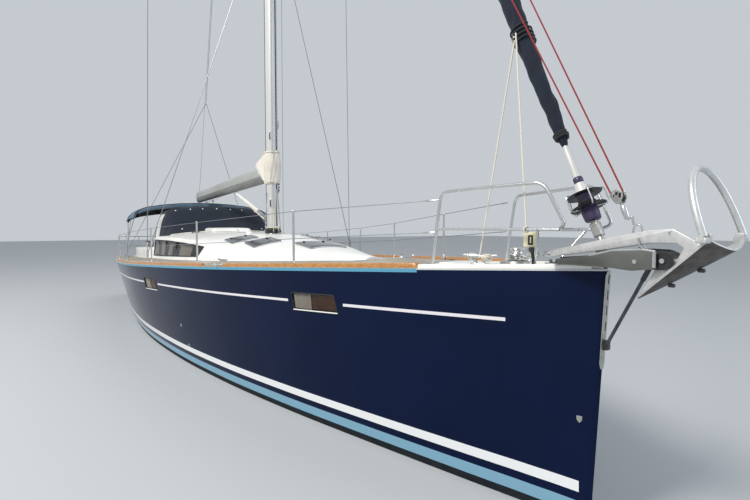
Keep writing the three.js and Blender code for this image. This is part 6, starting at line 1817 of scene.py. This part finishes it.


# Bimini: a grey-blue canvas top over the helms on three hoops of stainless tube, with slots for the backstay
# legs, a sewn valance at its front, and black edges and a black sheet at its back that are painted shade.
TOP_BACK, TOP_FRONT, PIVOT_X, PIVOT_Y, HOOPS_X = -6550, -4450, -5450, 1850, (-4500, -5450, -6500)
BIMINI_HALF = [(1800, 2300), (1735, 2490), (1500, 2605), (1000, 2690), (500, 2733), (0, 2745)]
BIMINI_ARCH = arched(BIMINI_HALF, 260)
BIMINI_ROWS = [(TOP_FRONT, 0), (-5000, 8), (-5900, 4), (TOP_BACK, -50)]


def bimini_point(x, y, z, out=0.0):
    """Where the top's cloth is: it sinks a little between hoops, and creases run in from its corners."""
    drop = fair([(-row[0], row[1]) for row in BIMINI_ROWS], -x)[1]
    between = min(abs(x - hoop) for hoop in HOOPS_X)
    slack = 12 * sin(pi * min(1, between / 480)) * (1 - (y / 1800) ** 2) + 2.5 * sin(y / 70 + x / 45)
    return at(x, y + copysign(out, y) * (abs(y) > 1600),
              z + drop - slack * min(1, max(0, (z - 2320) / 200)) + out * (abs(y) <= 1700))


top_cloth = loft([[bimini_point(x, y, z) for y, z in BIMINI_ARCH] for x in along(TOP_BACK, TOP_FRONT, 70)],
                 closed=False)
gone = []
for face in top_cloth.faces:
    c = face.calc_center_median() * 1000
    if 1150 < abs(c.y) < 1540 and -6600 < c.x < -5160:
        gone.append(face)
bmesh.ops.delete(top_cloth, geom=gone, context="FACES")
grey_blue_canvas = canvas("grey_blue_acrylic_canvas", "5E7488", "4C6072")
awning = piece("bimini_top", top_cloth, grey_blue_canvas, replaces=["bimini"], smooth=60)
hems = [rod([bimini_point(x, y, z, 2) for y, z in BIMINI_ARCH], 9, 10) for x in (TOP_FRONT, TOP_BACK)]
hems += [rod([bimini_point(x, *BIMINI_ARCH[k], 2) for x in along(TOP_BACK, TOP_FRONT, 120)], 11, 10)
         for k in (0, -1)]

# Black canvas, matt and faded in patches: painted shade for the shaded underside of the top.
black_shade_canvas = canvas("black_canvas_painted_shade", "1D2126", "121418")

# Black rolled edges round the top: painted shade along its rims.
piece("bimini_rolled_edges", hems, black_shade_canvas)
# A black sheet hung at the back: painted shade where the top's underside shows.
skirt = [[bimini_point(TOP_BACK - lean, y, z - drop) for y, z in BIMINI_ARCH if abs(y) < 1765]
         for lean, drop in ((0, 0), (14, 60), (10, 120), (16, 170))]
rear = piece("bimini_rear_shade_sheet", loft(skirt, closed=False), black_shade_canvas)
flap = [[bimini_point(TOP_FRONT + lean, y, z - drop) for y, z in BIMINI_ARCH if abs(y) < 1700]
        for lean, drop in ((0, 0), (16, 30), (20, 62), (14, 95))]
valance = piece("bimini_front_valance", loft(flap, closed=False), grey_blue_canvas)
hoops = []
for x in HOOPS_X:
    line = [bimini_point(x, y, z) - at(0, copysign(15, y) if abs(y) > 1500 else 0, 15)
            for y, z in BIMINI_ARCH[1:-1]]
    hoops.append(rod([at(PIVOT_X, -PIVOT_Y, 1760), *line, at(PIVOT_X, PIVOT_Y, 1760)], 11, 16))
for side in (1, -1):
    hoops.append(pin(22, -16, 16, at(PIVOT_X, side * PIVOT_Y, 1772), PORT, 20))
    hoops.append(rod([at(PIVOT_X, side * PIVOT_Y, 1700), at(PIVOT_X, side * PIVOT_Y, 1775)], 14, 16))
piece("bimini_hoops", hoops, stainless, replaces=["bimini_frame"])


# Roof fittings: a white ventilator dome, two mushroom vents and the rope clutches ahead of the house
# winches, all screwed down through the moulding, and the filler caps let into the deck.
domes = [turned([(0, 0), (78, 0), (76, 20), (64, 48), (40, 68), (0, 76)],
                at(-1600, 40, roof_at(-1600, 40) - 6), UP, 48)]
domes += [turned([(0, 0), (62, 0), (60, 18), (64, 26), (50, 44), (0, 52)],
                 at(700, y, roof_at(700, abs(y)) - 4), UP, 40) for y in (-330, 330)]
piece("roof_vents", domes, white_gelcoat)
clutches = []
for side in (1, -1):
    for k in range(3):
        y = side * (640 + 62 * k)
        z = roof_at(-2330, y)
        clutches.append(rounded(side_prism([(-2420, z - 4), (-2230, z - 4), (-2236, z + 46), (-2300, z + 64),
                                            (-2410, z + 40)], y - 24, y + 24), 5, 2, 40))
piece("roof_rope_clutches", clutches, black_nylon)
caps = [turned([(0, 0), (34, 0), (34, 5), (28, 7), (0, 7)], at(x, side * y, deck_at(x, y) + 7), UP, 28)
        for side in (1, -1) for x, y in ((4750, 900), (5200, 620), (-5400, 1850))]
piece("deck_filler_caps", caps, black_nylon)


# Skin fittings and the bare shields at the stem: stainless flanges let into the topside, and a thin
# plate each side of the bow, bent to the hull and glued on.
for side, hand in SIDES:
    outlets = [turned([(0, -6), (26, -6), (26, 3), (18, 6), (13, 3), (13, -4), (0, -4)],
                      at(x, side * (hull_side(x, z) - 1), z), (0.1, side, -0.15), 32)
               for x, z in ((1940, 330), (1780, 610), (-2600, 420))]
    piece(f"skin_fittings_{hand}", outlets, stainless)
    badge = [(7322, 772), (7358, 774), (7357, 744), (7340, 722), (7323, 744)]
    shield = side_prism(softened(badge, 5), side * 2, side * 300)
    skin = carved(carved(shield, hull_form(0, -side * 8)), hull_form(), operation="INTERSECT")
    bmesh.ops.translate(skin, verts=skin.verts, vec=at(0, side * 2.2, 0))
    piece(f"stem_shield_{hand}", skin, dull_stainless)


# Boarding ladder: a folding ladder of welded stainless tube and treads, hinged on two lugs at the
# transom.
ladder = cast("boarding_ladder")
piece("boarding_ladder_tubes", ladder, stainless, body="boarding_ladder", replaces=["boarding_ladder"],
      smooth=50)


# Below the waterline: an iron fin and bulb, a deep spade rudder, and a saildrive leg with a three-bladed
# bronze propeller, driven by a small diesel under the companionway.

# Cast iron under epoxy and antifouling paint: matt, dark, brushed on.
keel_paint = patchy("antifouling_paint", {"Roughness": 0.8}, (120, "23272B", "31373B"),
                    (18, 0.5))

# Bronze: yellow brown with a worn sheen.
bronze = patchy("cast_bronze", {"Metallic": 1.0, "Roughness": 0.35}, (50, "A67C45", "6F5530"),
                (8, 0.1))

# Grey machinery enamel: smooth, half gloss, thick over castings.
machine_enamel = patchy("grey_machinery_enamel", {"Roughness": 0.4, "Coat Weight": 0.2},
                        (150, "9A9FA1", "858A8C"), (12, 0.1))

for name, body, slot, finish, edge in (
    ("keel", "yacht", "keel_iron", keel_paint, 0), ("rudder", "rudder", "rudder_paint", keel_paint, 0),
    ("propeller", "propeller", "bronze", bronze, 0), ("engine", "yacht", "engine_paint", machine_enamel, 4),
    ("saildrive", "yacht", "drive_paint", machine_enamel, 0),
):
    piece(f"{name}_shown", rounded(cast(name), edge), finish, body=body, slot=slot, replaces=[name],
          smooth=50)
